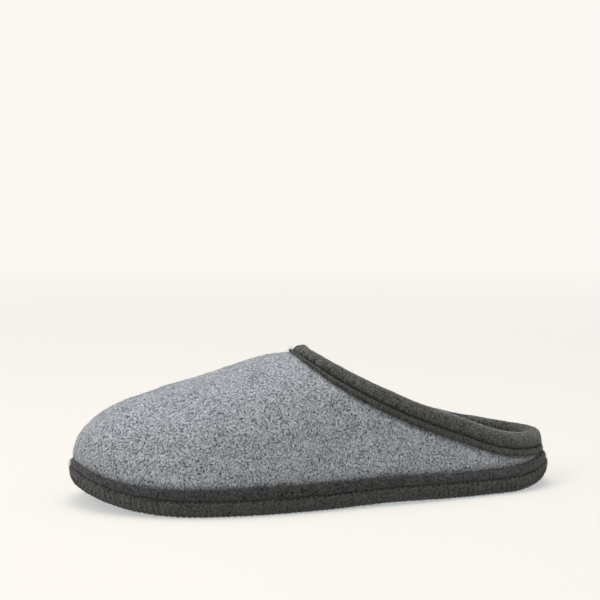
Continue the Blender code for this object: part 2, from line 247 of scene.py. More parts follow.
@dataclass
class Last:
    """Shape that the felt is drawn over, in the CAD part's own sizes."""

    length: float = 0.2768
    ball_width: float = 0.101
    instep_height: float = 0.0800
    heel_height: float = 0.0290
    sole_thickness: float = 0.0090
    clearance: float = 0.0003
    toe_spring: float = 0.0119
    heel_spring: float = 0.0058
    arch_rise: float = 0.0010
    toe_break: float = 0.745
    arch_front: float = 0.54
    arch_back: float = 0.20
    heel_break: float = 0.11
    toe_bend: float = 3.0
    heel_bend: float = 1.6
    foot_inset: float = 0.0033
    full_across: float = 2.1
    toe_fan: float = 0.046
    heel_fan: float = 0.060
    side_belly: float = 0.0016
    belly_height: float = 0.030
    nudge: float = 1e-4
    outline_steps: int = 1200
    halvings: int = 40
    throat_search: tuple = (0.2, 0.8)
    places: np.ndarray = field(init=False, repr=False)
    rows: np.ndarray = field(init=False, repr=False)
    centre: np.ndarray = field(init=False, repr=False)
    throat: float = field(init=False)

    def __post_init__(self) -> None:
        """Settle the outline's closed turn, its middle and the throat."""
        lateral = np.array([(way * self.length, out * self.ball_width) for way, out, _ in reversed(OUTLINE)])
        medial = np.array([(way * self.length, -out * self.ball_width) for way, _, out in OUTLINE])
        places = []
        for start, side in ((0, lateral), (0.5, medial)):
            steps = np.linalg.norm(np.diff(side, axis=0), axis=1)
            places.extend(start + np.append(0, np.cumsum(steps))[:-1] / steps.sum() / 2)
        self.places = np.array(places)
        self.rows = np.vstack([lateral[:-1], medial[:-1]])
        plan = self.rim(np.linspace(0, 1, self.outline_steps, endpoint=False))
        self.centre = np.append((plan.max(axis=0) + plan.min(axis=0)) / 2, 0.0)
        self.throat = self.throat_way()

    def rim(self, turn: np.ndarray, inset: float = 0.0) -> np.ndarray:
        """Plan points of the sole's outline.

        Args:
            turn: Places on the turn, toe at 0 and heel at a half.
            inset: Distance in from the outline.

        Returns:
            Plan points.
        """
        turn = np.asarray(turn, float)
        ahead = closed_spline(self.places, self.rows, turn + self.nudge)
        along = unit(ahead - closed_spline(self.places, self.rows, turn - self.nudge))
        outward = np.stack([along[..., 1], -along[..., 0]], axis=-1)
        return closed_spline(self.places, self.rows, turn) - outward * np.asarray(inset)[..., None]

    def ring(self, turn: np.ndarray, inset: np.ndarray, ground: Callable, height: np.ndarray) -> np.ndarray:
        """Ring of points in from the outline and up from a ground.

        Args:
            turn: Places on the turn.
            inset: Distance in from the outline.
            ground: Function that gives the ground's height at a place along the shoe.
            height: Height above that ground.

        Returns:
            Points before they are centred.
        """
        plan = self.rim(turn, inset)
        return np.concatenate([plan, (ground(plan[..., 0]) + height)[..., None]], axis=-1)

    def lift(self, x: np.ndarray) -> np.ndarray:
        """Height of the sole's underside above the floor.

        Args:
            x: Places along the shoe in metres.

        Returns:
            Height at each place.
        """
        way = np.asarray(x, float) / self.length
        toe = np.clip((way - self.toe_break) / (1 - self.toe_break), 0, None) ** self.toe_bend
        heel = np.clip((self.heel_break - way) / self.heel_break, 0, None) ** self.heel_bend
        waist = np.clip((way - self.arch_back) / (self.arch_front - self.arch_back), 0, 1)
        return self.toe_spring * toe + self.heel_spring * heel + self.arch_rise * np.sin(pi * waist) ** 2

    def foot_height(self, x: np.ndarray) -> np.ndarray:
        """Height of the upper's lower edge."""
        return self.lift(x) + self.sole_thickness + self.clearance

    def ridge(self, x: np.ndarray) -> tuple[np.ndarray, np.ndarray, np.ndarray]:
        """Height, sideways place and fullness of the ridge at a place along the shoe.

        Args:
            x: Places along the shoe in metres.

        Returns:
            Height, sideways place and fullness.
        """
        ways, heights, sides, full = zip(*RIDGE)
        way = np.asarray(x) / self.length
        height = natural_spline(ways, heights, way) * self.instep_height
        return height, natural_spline(ways, sides, way) * self.ball_width, natural_spline(ways, full, way)

    def collar_height(self, x: np.ndarray, side: Side) -> np.ndarray:
        """Height of the felt's top edge around the collar, on one side.

        Args:
            x: Places along the shoe in metres.
            side: Side of the slipper.

        Returns:
            Height at each place.
        """
        ways, lateral, medial = zip(*COLLAR)
        share = natural_spline(ways, lateral if side is Side.LATERAL else medial, np.asarray(x) / self.length)
        return self.heel_height + share * (self.instep_height - self.heel_height)

    def ridge_point(self, way: np.ndarray) -> np.ndarray:
        """Plan point of the ridge that a column runs up to; the columns fan out at toe and heel.

        Args:
            way: From 0 at the toe to 1 at the heel.

        Returns:
            Plan points.
        """
        x = (self.rim(way / 2)[..., 0] + self.rim(-way / 2)[..., 0]) / 2
        ahead = self.length - x
        toe = np.hypot(ahead, self.toe_fan) - ahead
        heel = np.hypot(x, self.heel_fan) - x
        x = x - toe + heel
        return np.stack([x, self.ridge(x)[1]], axis=-1)

    def skin(self, way: np.ndarray, angle: np.ndarray) -> np.ndarray:
        """Points of the felt's outer face.

        Args:
            way: From 0 at the toe to 1 at the heel.
            angle: From 0 on the ridge to a quarter turn at the foot, positive on the lateral side.

        Returns:
            Points before they are centred.
        """
        way, angle = np.broadcast_arrays(np.asarray(way, float), np.asarray(angle, float))
        side = np.where(angle < 0, -1.0, 1.0)
        foot = self.rim(side * way / 2, self.foot_inset)
        top = self.ridge_point(way)
        out = np.abs(np.sin(angle))
        plan = top + (foot - top) * out[..., None]
        low = self.foot_height(plan[..., 0])
        height, _, full = self.ridge(plan[..., 0])
        z = low + (height - low) * np.clip(1 - out ** self.full_across, 0, None) ** (1 / full)
        climb = np.clip((z - low) / self.belly_height, 0, 1)
        belly = self.side_belly * climb * (1 - climb) ** 2 * BELLY_GAIN
        plan = plan + unit(foot - top) * belly[..., None]
        return np.concatenate([plan, z[..., None]], axis=-1)

    def slopes(self, way: np.ndarray, angle: np.ndarray) -> tuple[np.ndarray, np.ndarray, np.ndarray]:
        """Change of the skin along the shoe and around it, and its outward normal.

        Args:
            way: From 0 at the toe to 1 at the heel.
            angle: Angle around, as for skin.

        Returns:
            Both changes and the normal.
        """
        step = self.nudge
        along = (self.skin(way + step, angle) - self.skin(way - step, angle)) / (2 * step)
        around = (self.skin(way, angle + step) - self.skin(way, angle - step)) / (2 * step)
        return along, around, unit(np.cross(around, along))

    def halve(self, miss: Callable, low: np.ndarray, high: np.ndarray) -> np.ndarray:
        """Place between low and high where a rising miss passes nought.

        Args:
            miss: Function of the place.
            low: Place where it is negative.
            high: Place where it is positive.

        Returns:
            The place.
        """
        for _ in range(self.halvings):
            middle = (low + high) / 2
            below = miss(middle) < 0
            low = np.where(below, middle, low)
            high = np.where(below, high, middle)
        return (low + high) / 2

    def throat_way(self) -> float:
        """Way from toe to heel at which the collar's edge crosses the ridge."""
        def over(way: np.ndarray) -> np.ndarray:
            """Height of the ridge above the collar's edge."""
            point = self.skin(way, 0.0)
            return point[..., 2] - self.collar_height(point[..., 0], Side.LATERAL)
        low, high = self.throat_search
        return float(self.halve(over, np.array(low), np.array(high)))

    def collar_angle(self, way: np.ndarray, side: Side) -> np.ndarray:
        """Angle at which each column meets the collar's edge.

        Args:
            way: From 0 at the toe to 1 at the heel.
            side: Side of the slipper.

        Returns:
            Angle of each column.
        """
        def under(angle: np.ndarray) -> np.ndarray:
            """Height of the collar's edge above the skin."""
            point = self.skin(way, side.value * angle)
            return self.collar_height(point[..., 0], side) - point[..., 2]
        return side.value * self.halve(under, np.zeros_like(way), np.full_like(way, pi / 2))

    def columns(self, front: int, back: int) -> np.ndarray:
        """Columns once around from the toe, lateral side first.

        Args:
            front: Columns from the toe to the throat.
            back: Columns from the throat to the heel.

        Returns:
            Way at the foot, way at the top, angle at the top and side of each column.
        """
        ahead = np.linspace(0, self.throat, front + 1)
        turn = np.arange(1, back + 1) / back
        foot = np.append(ahead, self.throat + (1 - self.throat) * turn)
        top = np.append(ahead, self.throat + (1 - self.throat) * (1 - np.cos(pi * turn)) / 2)
        behind = np.arange(len(foot)) > front
        tables = []
        for side in Side:
            angle = np.where(behind, self.collar_angle(top, side), 0.0)
            tables.append(np.stack([foot, top, angle, np.full_like(foot, side.value)], axis=1))
        return np.vstack([tables[0], tables[1][-2:0:-1]])

    def rise(self, way: np.ndarray, side: np.ndarray, climb: np.ndarray) -> np.ndarray:
        """Points of the skin at a height above its foot.

        Args:
            way: From 0 at the toe to 1 at the heel.
            side: 1 on the lateral side, -1 on the medial side.
            climb: Height above the foot in metres.

        Returns:
            Points before they are centred.
        """
        low = self.skin(way, side * pi / 2)
        height, _, full = self.ridge(low[..., 0])
        share = np.clip(climb / (height - low[..., 2]), 0, 1) ** full
        return self.skin(way, side * np.arcsin((1 - share) ** (1 / self.full_across)))


def grid_quads(rows: int, columns: int, closed: bool = False) -> np.ndarray:
    """Quads of a grid of points whose rows are closed rings.

    Args:
        rows: Number of rings.
        columns: Points in each ring.
        closed: True where the last ring joins the first.

    Returns:
        Four point numbers a quad.
    """
    row = np.arange(rows if closed else rows - 1)[:, None]
    column = np.arange(columns)[None, :]
    after = (column + 1) % columns
    above = (row + 1) % rows
    low = row * columns
    high = above * columns
    return np.stack((low + column, low + after, high + after, high + column), axis=-1).reshape(-1, 4)


def across_ring(ring: np.ndarray, rows: int) -> tuple[np.ndarray, np.ndarray]:
    """Points on lines that cross a closed ring from side to side.

    Args:
        ring: Points of the ring.
        rows: Steps from side to side.

    Returns:
        Points by row and line, and each row's share of the way across.
    """
    j = np.arange(1, len(ring) // 2)
    share = np.linspace(0, 1, rows + 1)[1:-1, None, None]
    return ring[j] * (1 - share) + ring[len(ring) - j] * share, share[..., 0]


def plate_faces(first: int, last_ring: int, rows: int, count: int) -> tuple[np.ndarray, list]:
    """Faces of a flat that spans a closed ring from side to side.

    Args:
        first: Number of the flat's first own point.
        last_ring: Number of the ring's first point.
        rows: Rows of the flat's own points.
        count: Points in the ring.

    Returns:
        Quads of the flat and the triangles at its two ends.
    """
    half = count // 2
    j = np.arange(1, half)
    block = first + np.arange(rows * len(j)).reshape(rows, len(j))
    lines = np.vstack([last_ring + j, block, last_ring + count - j])
    quads = np.stack([lines[:-1, :-1], lines[:-1, 1:], lines[1:, 1:], lines[1:, :-1]], axis=-1).reshape(-1, 4)
    fans = []
    for pole, edge in ((last_ring, lines[:, 0]), (last_ring + half, lines[:, -1])):
        fans += [(int(a), int(b), int(pole)) for a, b in zip(edge, edge[1:])]
    return quads, fans


def lid_faces(count: int) -> list:
    """Faces that close the first ring from side to side.

    Args:
        count: Points in the ring.

    Returns:
        Point numbers of each face.
    """
    half = count // 2
    strips = [(i, i + 1, count - i - 1, count - i) for i in range(1, half - 1)]
    return strips + [(0, 1, count - 1), (half - 1, half, half + 1)]


def grid_normals(points: np.ndarray) -> np.ndarray:
    """Normals of a grid of rings, from the points beside each.

    Args:
        points: Rows by columns by three.

    Returns:
        One normal a point.
    """
    across = np.roll(points, -1, axis=1) - np.roll(points, 1, axis=1)
    up = np.gradient(points, axis=0)
    return unit(np.cross(across, up))


def placed(name: str, data: bpy.types.ID) -> bpy.types.Object:
    """New object that carries the data, linked to the scene.

    Args:
        name: Name of the object.
        data: Mesh, curve, lamp or camera.

    Returns:
        The object.
    """
    thing = bpy.data.objects.new(name, data)
    bpy.context.collection.objects.link(thing)
    return thing


def make_mesh(name: str, points: np.ndarray, faces: list, shade: np.ndarray | None = None,
              track: np.ndarray | None = None, merge: float = 0.0) -> bpy.types.Object:
    """Smooth-shaded object from points and faces, facing outwards.

    Args:
        name: Name of the piece.
        points: One point a row.
        faces: Point numbers of each face.
        shade: Darkening at each point, from 0 to 1.
        track: Place of each point along and across the strip, in metres.
        merge: Distance below which points are joined.

    Returns:
        The object, linked to the scene.
    """
    mesh = bpy.data.meshes.new(name)
    mesh.from_pydata(points.tolist(), [], [tuple(face) for face in faces])
    mesh.attributes.new("shade", "FLOAT", "POINT").data.foreach_set(
        "value", np.zeros(len(points)) if shade is None else np.asarray(shade, float).ravel())
    if track is not None:
        flat = np.concatenate([track.reshape(len(points), 2), np.zeros((len(points), 1))], axis=1)
        mesh.attributes.new("track", "FLOAT_VECTOR", "POINT").data.foreach_set("vector", flat.ravel())
    work = bmesh.new()
    work.from_mesh(mesh)
    if merge:
        bmesh.ops.remove_doubles(work, verts=work.verts, dist=merge)
    bmesh.ops.recalc_face_normals(work, faces=work.faces)
    work.to_mesh(mesh)
    work.free()
    mesh.shade_smooth()
    return placed(name, mesh)


class Bench:
    """Adds nodes to one tree and links them."""

    def __init__(self, tree: bpy.types.NodeTree) -> None:
        """Keep the tree."""
        self.tree = tree

    def add(self, kind: str, sockets: dict | None = None, **settings) -> bpy.types.Node:
        """Add a node.

        Args:
            kind: Node type.
            sockets: Input name or number, and a value or an output socket for it.
            settings: Attributes of the node.

        Returns:
            The node.
        """
        node = self.tree.nodes.new(kind)
        for key, value in settings.items():
            setattr(node, key, value)
        return self.fill(node, sockets or {})

    def fill(self, node: bpy.types.Node, sockets: dict) -> bpy.types.Node:
        """Feed several inputs of a node.

        Args:
            node: The node.
            sockets: Input name or number, and a value or an output socket for it.

        Returns:
            The node.
        """
        for key, value in sockets.items():
            self.feed(node.inputs[key], value)
        return node

    def feed(self, socket: bpy.types.NodeSocket, value) -> None:
        """Link an output socket to the input, or set its value.

        Args:
            socket: The input.
            value: A value or an output socket.
        """
        if isinstance(value, bpy.types.NodeSocket):
            self.tree.links.new(value, socket)
        else:
            socket.default_value = value

    def math(self, operation: str, first, second=0.0, third=0.0) -> bpy.types.NodeSocket:
        """Output of a Math node."""
        node = self.add("ShaderNodeMath", {0: first, 1: second, 2: third}, operation=operation)
        return node.outputs[0]

    def noise(self, vector, scale: float, detail: float = 2.0, roughness: float = 0.5) -> bpy.types.Node:
        """Noise Texture at the vector; its first output is the value."""
        sockets = {"Vector": vector, "Scale": scale, "Detail": detail, "Roughness": roughness}
        return self.add("ShaderNodeTexNoise", sockets)

    def turned(self, vector, degrees: tuple, stretch: tuple, shift: float = 0.0) -> bpy.types.NodeSocket:
        """Vector turned and stretched by a Mapping node.

        Args:
            vector: The vector.
            degrees: Turn about each axis.
            stretch: Stretch along each axis.
            shift: Shift along all axes.

        Returns:
            The new vector.
        """
        sockets = {"Vector": vector, "Location": (shift,) * 3, "Rotation": [radians(d) for d in degrees],
                   "Scale": stretch}
        return self.add("ShaderNodeMapping", sockets).outputs[0]

    def remap(self, value, low: float, high: float, to_low=0.0, to_high=1.0) -> bpy.types.NodeSocket:
        """Value mapped from one span to another and held inside it."""
        sockets = {"Value": value, "From Min": low, "From Max": high, "To Min": to_low, "To Max": to_high}
        return self.add("ShaderNodeMapRange", sockets).outputs[0]

    def warped(self, vector, scale: float, detail: float, reach: float) -> bpy.types.NodeSocket:
        """Vector pushed about by a noise.

        Args:
            vector: The vector.
            scale: Scale of the noise.
            detail: Detail of the noise.
            reach: How far it pushes.

        Returns:
            The new vector.
        """
        push = self.noise(vector, scale, detail).outputs["Color"]
        push = self.add("ShaderNodeVectorMath", {0: push, "Scale": reach}, operation="SCALE").outputs[0]
        return self.add("ShaderNodeVectorMath", {0: vector, 1: push}, operation="ADD").outputs[0]

    def vector(self, across=0.0, along=0.0, up=0.0) -> bpy.types.NodeSocket:
        """Vector of three values."""
        return self.add("ShaderNodeCombineXYZ", {0: across, 1: along, 2: up}).outputs[0]

    def chance(self, low, high, seed) -> bpy.types.NodeSocket:
        """Random value between two, another for each point."""
        node = self.add("FunctionNodeRandomValue", {2: low, 3: high, "Seed": seed}, data_type="FLOAT")
        return node.outputs[1]

    def turn(self, rotation, degrees) -> bpy.types.NodeSocket:
        """Rotation turned further about its own axes."""
        node = self.add("FunctionNodeRotateRotation", {0: rotation, 1: degrees}, rotation_space="LOCAL")
        return node.outputs[0]

    def tube(self, path, profile) -> bpy.types.NodeSocket:
        """Mesh of a profile drawn along a path, closed at both ends."""
        sockets = {"Curve": path, "Profile Curve": profile, "Fill Caps": True}
        return self.add("GeometryNodeCurveToMesh", sockets).outputs[0]

    def close(self, geometry, material, result: bpy.types.Node) -> None:
        """Realize the geometry, give it its material and hand it to the tree's output.

        Args:
            geometry: The finished geometry.
            material: Its material.
            result: Output node of the tree.
        """
        solid = self.add("GeometryNodeRealizeInstances", {"Geometry": geometry}).outputs[0]
        finish = self.add("GeometryNodeSetMaterial", {"Geometry": solid, "Material": material})
        self.feed(result.inputs[0], finish.outputs[0])

    def blend(self, share, first, second, mode: str = "MIX") -> bpy.types.NodeSocket:
        """Colour mixed from two."""
        sockets = {"Factor": share, 6: first, 7: second}
        return self.add("ShaderNodeMix", sockets, data_type="RGBA", blend_type=mode).outputs[2]


def new_tree(kind: str, name: str, inputs: tuple,
             outputs: tuple) -> tuple[Bench, bpy.types.Node, bpy.types.Node]:
    """Empty node tree with named inputs and outputs.

    Args:
        kind: Type of the tree.
        name: Name of the tree.
        inputs: Name, socket type and value of each input.
        outputs: Name and socket type of each output.

    Returns:
        Bench for the tree, its input node and its output node.
    """
    tree = bpy.data.node_groups.new(name, kind)
    for label, socket_type, value in inputs:
        socket = tree.interface.new_socket(label, in_out="INPUT", socket_type=socket_type)
        if value is not None:
            socket.default_value = value
    for label, socket_type in outputs:
        tree.interface.new_socket(label, in_out="OUTPUT", socket_type=socket_type)
    return Bench(tree), tree.nodes.new("NodeGroupInput"), tree.nodes.new("NodeGroupOutput")


# Mean of the felt's mottling, turns of its crossing fibres in degrees and their stretch
FELT_MEAN = 0.55
FIBRE_TURNS = ((20, 35, 0), (70, -20, 50), (-35, 60, 110), (100, 15, -40))
FIBRE_STRETCH = (1850.0, 1850.0, 700.0)
FIBRE_SHIFT = 3.7


def felt_group() -> bpy.types.NodeTree:
    """Melange of matted wool: mottling, crossing fibres and pale hairs."""
    if "felt melange" in bpy.data.node_groups:
        return bpy.data.node_groups["felt melange"]
    bench, given, result = new_tree(
        "ShaderNodeTree", "felt melange",
        (
            ("Vector", VECTOR, None),
            ("Light", COLOUR, (0.5, 0.5, 0.5, 1.0)),
            ("Dark", COLOUR, (0.1, 0.1, 0.1, 1.0)),
            ("Hair", COLOUR, (0.8, 0.8, 0.8, 1.0)),
            ("Contrast", FLOAT, 1.0),
            ("Hairs", FLOAT, 0.5),
            ("Shade", FLOAT, 0.0),
        ),
        (("Color", COLOUR), ("Height", FLOAT)),
    )
    vector = bench.warped(given.outputs["Vector"], 320.0, 1.0, 0.0022)
    cloud = bench.noise(vector, 130.0, 2.0).outputs[0]
    mottle = bench.noise(vector, 930.0, 2.0, 0.60).outputs[0]
    strands = []
    for number, turn in enumerate(FIBRE_TURNS):
        place = bench.turned(vector, turn, FIBRE_STRETCH, FIBRE_SHIFT * number)
        strands.append(bench.noise(place, 1.0, 1.0).outputs[0])
    weave = bench.math("MAXIMUM", strands[0], strands[1])
    weave = bench.math("MAXIMUM", weave, bench.math("MAXIMUM", strands[2], strands[3]))
    dip = bench.math("MINIMUM", strands[0], strands[2])
    lighter = bench.remap(weave, 0.50, 0.80)
    darker = bench.remap(dip, 0.22, 0.48)
    tone = bench.math("MULTIPLY_ADD", lighter, 0.34, bench.math("MULTIPLY", darker, 0.24))
    tone = bench.math("MULTIPLY_ADD", bench.remap(mottle, 0.30, 0.70), 0.58, tone)
    tone = bench.math("MULTIPLY_ADD", bench.math("SUBTRACT", cloud, 0.5), 0.22, tone)
    height = tone
    tone = bench.math("SUBTRACT", tone, FELT_MEAN)
    tone = bench.math("MULTIPLY_ADD", tone, given.outputs["Contrast"], 0.5)
    node = bench.add("ShaderNodeClamp", {"Value": tone})
    colour = bench.blend(node.outputs[0], given.outputs["Dark"], given.outputs["Light"])
    hair = bench.math("MULTIPLY", bench.remap(weave, 0.70, 0.80), given.outputs["Hairs"])
    colour = bench.blend(hair, colour, given.outputs["Hair"])
    keep = bench.math("SUBTRACT", 1.0, given.outputs["Shade"])
    grey = bench.add("ShaderNodeCombineColor", {0: keep, 1: keep, 2: keep}).outputs[0]
    colour = bench.blend(1.0, colour, grey, "MULTIPLY")
    bench.fill(result, {"Color": colour, "Height": height})
    return bench.tree


def crinkle_group() -> bpy.types.NodeTree:
    """Wrinkled latex coat: fine branching creases between smooth patches."""
    if "latex crinkle" in bpy.data.node_groups:
        return bpy.data.node_groups["latex crinkle"]
    bench, given, result = new_tree(
        "ShaderNodeTree", "latex crinkle",
        (("Vector", VECTOR, None), ("Size", FLOAT, 1.0)),
        (("Crack", FLOAT), ("Patch", FLOAT), ("Height", FLOAT)),
    )
    vector = bench.warped(given.outputs["Vector"], 90.0, 3.0, 0.016)
    edges = []
    for scale, turn in ((150.0, (0, 0, 25)), (260.0, (0, 0, -40))):
        place = bench.turned(vector, turn, (1.0, 1.7, 1.0))
        sockets = {"Vector": place, "Scale": bench.math("MULTIPLY", given.outputs["Size"], scale)}
        cells = bench.add("ShaderNodeTexVoronoi", sockets, feature="DISTANCE_TO_EDGE")
        edges.append(cells.outputs["Distance"])
    near = bench.math("MINIMUM", edges[0], bench.math("MULTIPLY", edges[1], 1.4))
    broken = bench.remap(bench.noise(vector, 240.0, 2.0).outputs[0], 0.42, 0.62)
    crack = bench.math("MULTIPLY", bench.remap(near, 0.10, 0.0), broken)
    patch = bench.remap(bench.noise(vector, 190.0, 3.0).outputs[0], 0.40, 0.62)
    height = bench.math("SUBTRACT", bench.math("MULTIPLY", patch, 0.4), crack)
    bench.fill(result, {"Crack": crack, "Patch": patch, "Height": height})
    return bench.tree


def blank_material(name: str) -> tuple[bpy.types.Material, Bench, bpy.types.Node]:
    """New material, a bench for its tree and its shader.

    Args:
        name: Name of the material.

    Returns:
        The material, the bench and the shader.
    """
    material = bpy.data.materials.new(name)
    material.use_nodes = True
    return material, Bench(material.node_tree), material.node_tree.nodes["Principled BSDF"]


@dataclass(frozen=True)
class FeltFinish:
    """Finish of one felt."""

    name: str
    light: tuple
    dark: tuple
    hair: tuple
    contrast: float = 1.0
    hairs: float = 0.4
    bump: float = 0.5
    relief: float = 0.0006
    roughness: float = 0.95
    sheen: float = 0.25
    ribs: float = 0.0

    def make(self) -> bpy.types.Material:
        """The material, built once."""
        if self.name in bpy.data.materials:
            return bpy.data.materials[self.name]
        material, bench, shader = blank_material(self.name)
        place = bench.add("ShaderNodeTexCoord").outputs["Object"]
        shade = bench.add("ShaderNodeAttribute", attribute_name="shade").outputs["Fac"]
        values = {"Vector": place, "Light": self.light, "Dark": self.dark, "Hair": self.hair,
                  "Contrast": self.contrast, "Hairs": self.hairs, "Shade": shade}
        felt = bench.add("ShaderNodeGroup", values, node_tree=felt_group())
        height = felt.outputs["Height"]
        colour = felt.outputs["Color"]
        if self.ribs:
            track = bench.add("ShaderNodeAttribute", attribute_name="track").outputs["Vector"]
            drawn = bench.turned(track, (0, 0, 0), (1350.0, 150.0, 1.0))
            rib = bench.noise(drawn, 1.0, 2.0, 0.6).outputs[0]
            rib = bench.remap(rib, 0.30, 0.70)
            height = bench.math("MULTIPLY_ADD", rib, self.ribs, height)
            # Painted shade: the colour is darker where the ribs dip
            painted_rib_shade = bench.remap(rib, 0.0, 0.6, 0.45 * self.ribs, 0.0)
            colour = bench.blend(painted_rib_shade, colour, self.dark)
        bump = bench.add("ShaderNodeBump", {"Strength": self.bump, "Distance": self.relief, "Height": height})
        bench.fill(shader, {"Base Color": colour, "Roughness": self.roughness, "Specular IOR Level": 0.15,
                            "Sheen Weight": self.sheen, "Sheen Roughness": 0.55, "Normal": bump.outputs[0]})
        return material


@dataclass(frozen=True)
class LatexFinish:
    """Finish of the coated underside."""

    name: str = "latex coated felt"
    smooth: tuple = srgb(90, 91, 85)
    matted: tuple = srgb(40, 41, 38)
    crack: tuple = srgb(138, 138, 130)
    speck: tuple = srgb(150, 151, 144)
    contrast: float = 1.7
    hairs: float = 0.5
    roughness: tuple = (0.85, 0.50)
    coat: float = 0.25

    def make(self) -> bpy.types.Material:
        """The material, built once."""
        if self.name in bpy.data.materials:
            return bpy.data.materials[self.name]
        material, bench, shader = blank_material(self.name)
        place = bench.add("ShaderNodeTexCoord").outputs["Object"]
        values = {"Vector": place, "Light": self.smooth, "Dark": self.matted, "Hair": self.speck,
                  "Contrast": self.contrast, "Hairs": self.hairs, "Shade": 0.0}
        felt = bench.add("ShaderNodeGroup", values, node_tree=felt_group())
        crinkle = bench.add("ShaderNodeGroup", {"Vector": place}, node_tree=crinkle_group())
        patch = crinkle.outputs["Patch"]
        colour = bench.blend(bench.math("MULTIPLY", patch, 0.3), felt.outputs["Color"], self.smooth)
        colour = bench.blend(bench.math("MULTIPLY", crinkle.outputs["Crack"], 0.45), colour, self.crack)
        height = bench.math("MULTIPLY_ADD", felt.outputs["Height"], 0.35, crinkle.outputs["Height"])
        bump = bench.add("ShaderNodeBump", {"Strength": 0.6, "Distance": 0.0007, "Height": height})
        bench.fill(shader, {"Base Color": colour, "Roughness": bench.remap(patch, 0.0, 1.0, *self.roughness),
                            "Coat Weight": bench.math("MULTIPLY", patch, self.coat), "Coat Roughness": 0.45,
                            "Specular IOR Level": 0.35, "Normal": bump.outputs[0]})
        return material


UPPER_FELT = FeltFinish("light grey wool felt", srgb(182, 188, 196), srgb(49, 54, 61), srgb(206, 211, 218),
                        contrast=2.0, hairs=0.42, bump=0.5)
BINDING_FELT = FeltFinish("charcoal binding felt", srgb(97, 100, 95), srgb(19, 20, 18), srgb(146, 149, 142),
                          contrast=2.2, hairs=0.45, bump=0.8, ribs=1.0)
RAND_FELT = FeltFinish("dark rand felt", srgb(74, 76, 76), srgb(2, 2, 3), srgb(128, 132, 130),
                       contrast=2.7, hairs=0.50, bump=0.9)
SOLE_FELT = FeltFinish("sole edge felt", srgb(94, 96, 96), srgb(18, 19, 19), srgb(138, 142, 140),
                       contrast=1.9, hairs=0.40, bump=0.7)
YARN = FeltFinish("whip stitch yarn", srgb(92, 94, 94), srgb(20, 21, 21), srgb(132, 136, 134),
                  contrast=1.9, hairs=0.30, bump=0.6)
THREAD = FeltFinish("dark sewing thread", srgb(42, 43, 41), srgb(16, 16, 16), srgb(70, 72, 70),
                    contrast=1.0, hairs=0.10, bump=0.3)
INSOLE_FELT = FeltFinish("insole felt", srgb(186, 189, 190), srgb(78, 82, 84), srgb(206, 208, 210),
                         contrast=1.3, hairs=0.35, bump=0.5)
PALE_HAIR = FeltFinish("pale loose hair", srgb(200, 204, 210), srgb(120, 126, 132), srgb(216, 219, 224),
                       bump=0.0, sheen=0.1)
GREY_HAIR = FeltFinish("grey loose hair", srgb(132, 135, 132), srgb(56, 58, 56), srgb(160, 162, 160),
                       bump=0.0, sheen=0.1)
DARK_HAIR = FeltFinish("dark loose hair", srgb(70, 72, 72), srgb(26, 27, 28), srgb(100, 102, 102),
                       bump=0.0, sheen=0.1)


def dress(piece: bpy.types.Object, finish: FeltFinish | LatexFinish,
          node: str | None = None) -> None:
    """Give a piece its finish, body and slot, and hide the CAD node that it stands for.

    Args:
        piece: The piece.
        finish: Finish of its first material slot.
        node: CAD node that it stands for, if any.
    """
    if not piece.data.materials:
        piece.data.materials.append(finish.make())
    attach(piece, BODY)
    if node:
        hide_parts(node)
    LOG.info("%s: %d faces", piece.name, len(piece.data.polygons))


def node_result(emitter: bpy.types.Object, tree: bpy.types.NodeTree, values: dict,
                name: str) -> bpy.types.Object:
    """Plain mesh made by a Geometry Nodes tree on an object, which is then removed.

    Args:
        emitter: Object that the tree starts from.
        tree: The tree.
        values: Value of each named input.
        name: Name of the new piece.

    Returns:
        The new piece.
    """
    modifier = emitter.modifiers.new("nodes", "NODES")
    modifier.node_group = tree
    for item in tree.interface.items_tree:
        if item.item_type == "SOCKET" and item.in_out == "INPUT" and item.name in values:
            modifier[item.identifier] = values[item.name]
    emitter.update_tag()
    bpy.context.view_layer.update()
    graph = bpy.context.evaluated_depsgraph_get()
    mesh = bpy.data.meshes.new_from_object(emitter.evaluated_get(graph))
    mesh.name = name
    piece = placed(name, mesh)
    data = emitter.data
    bpy.data.objects.remove(emitter, do_unlink=True)
    if isinstance(data, bpy.types.Curve):
        bpy.data.curves.remove(data)
    else:
        bpy.data.meshes.remove(data)
    return piece


# Bend of a loose hair: sideways by a share of its length, crest and tip by shares of its arch
HAIR_SWEEP = 0.28
HAIR_CREST = 2.0
HAIR_DIP = -0.3

# Smallest and largest hair against the usual one, and how far one may point into the felt
HAIR_SCALE = (0.45, 1.35)
HAIR_TILT_UP = 0.05


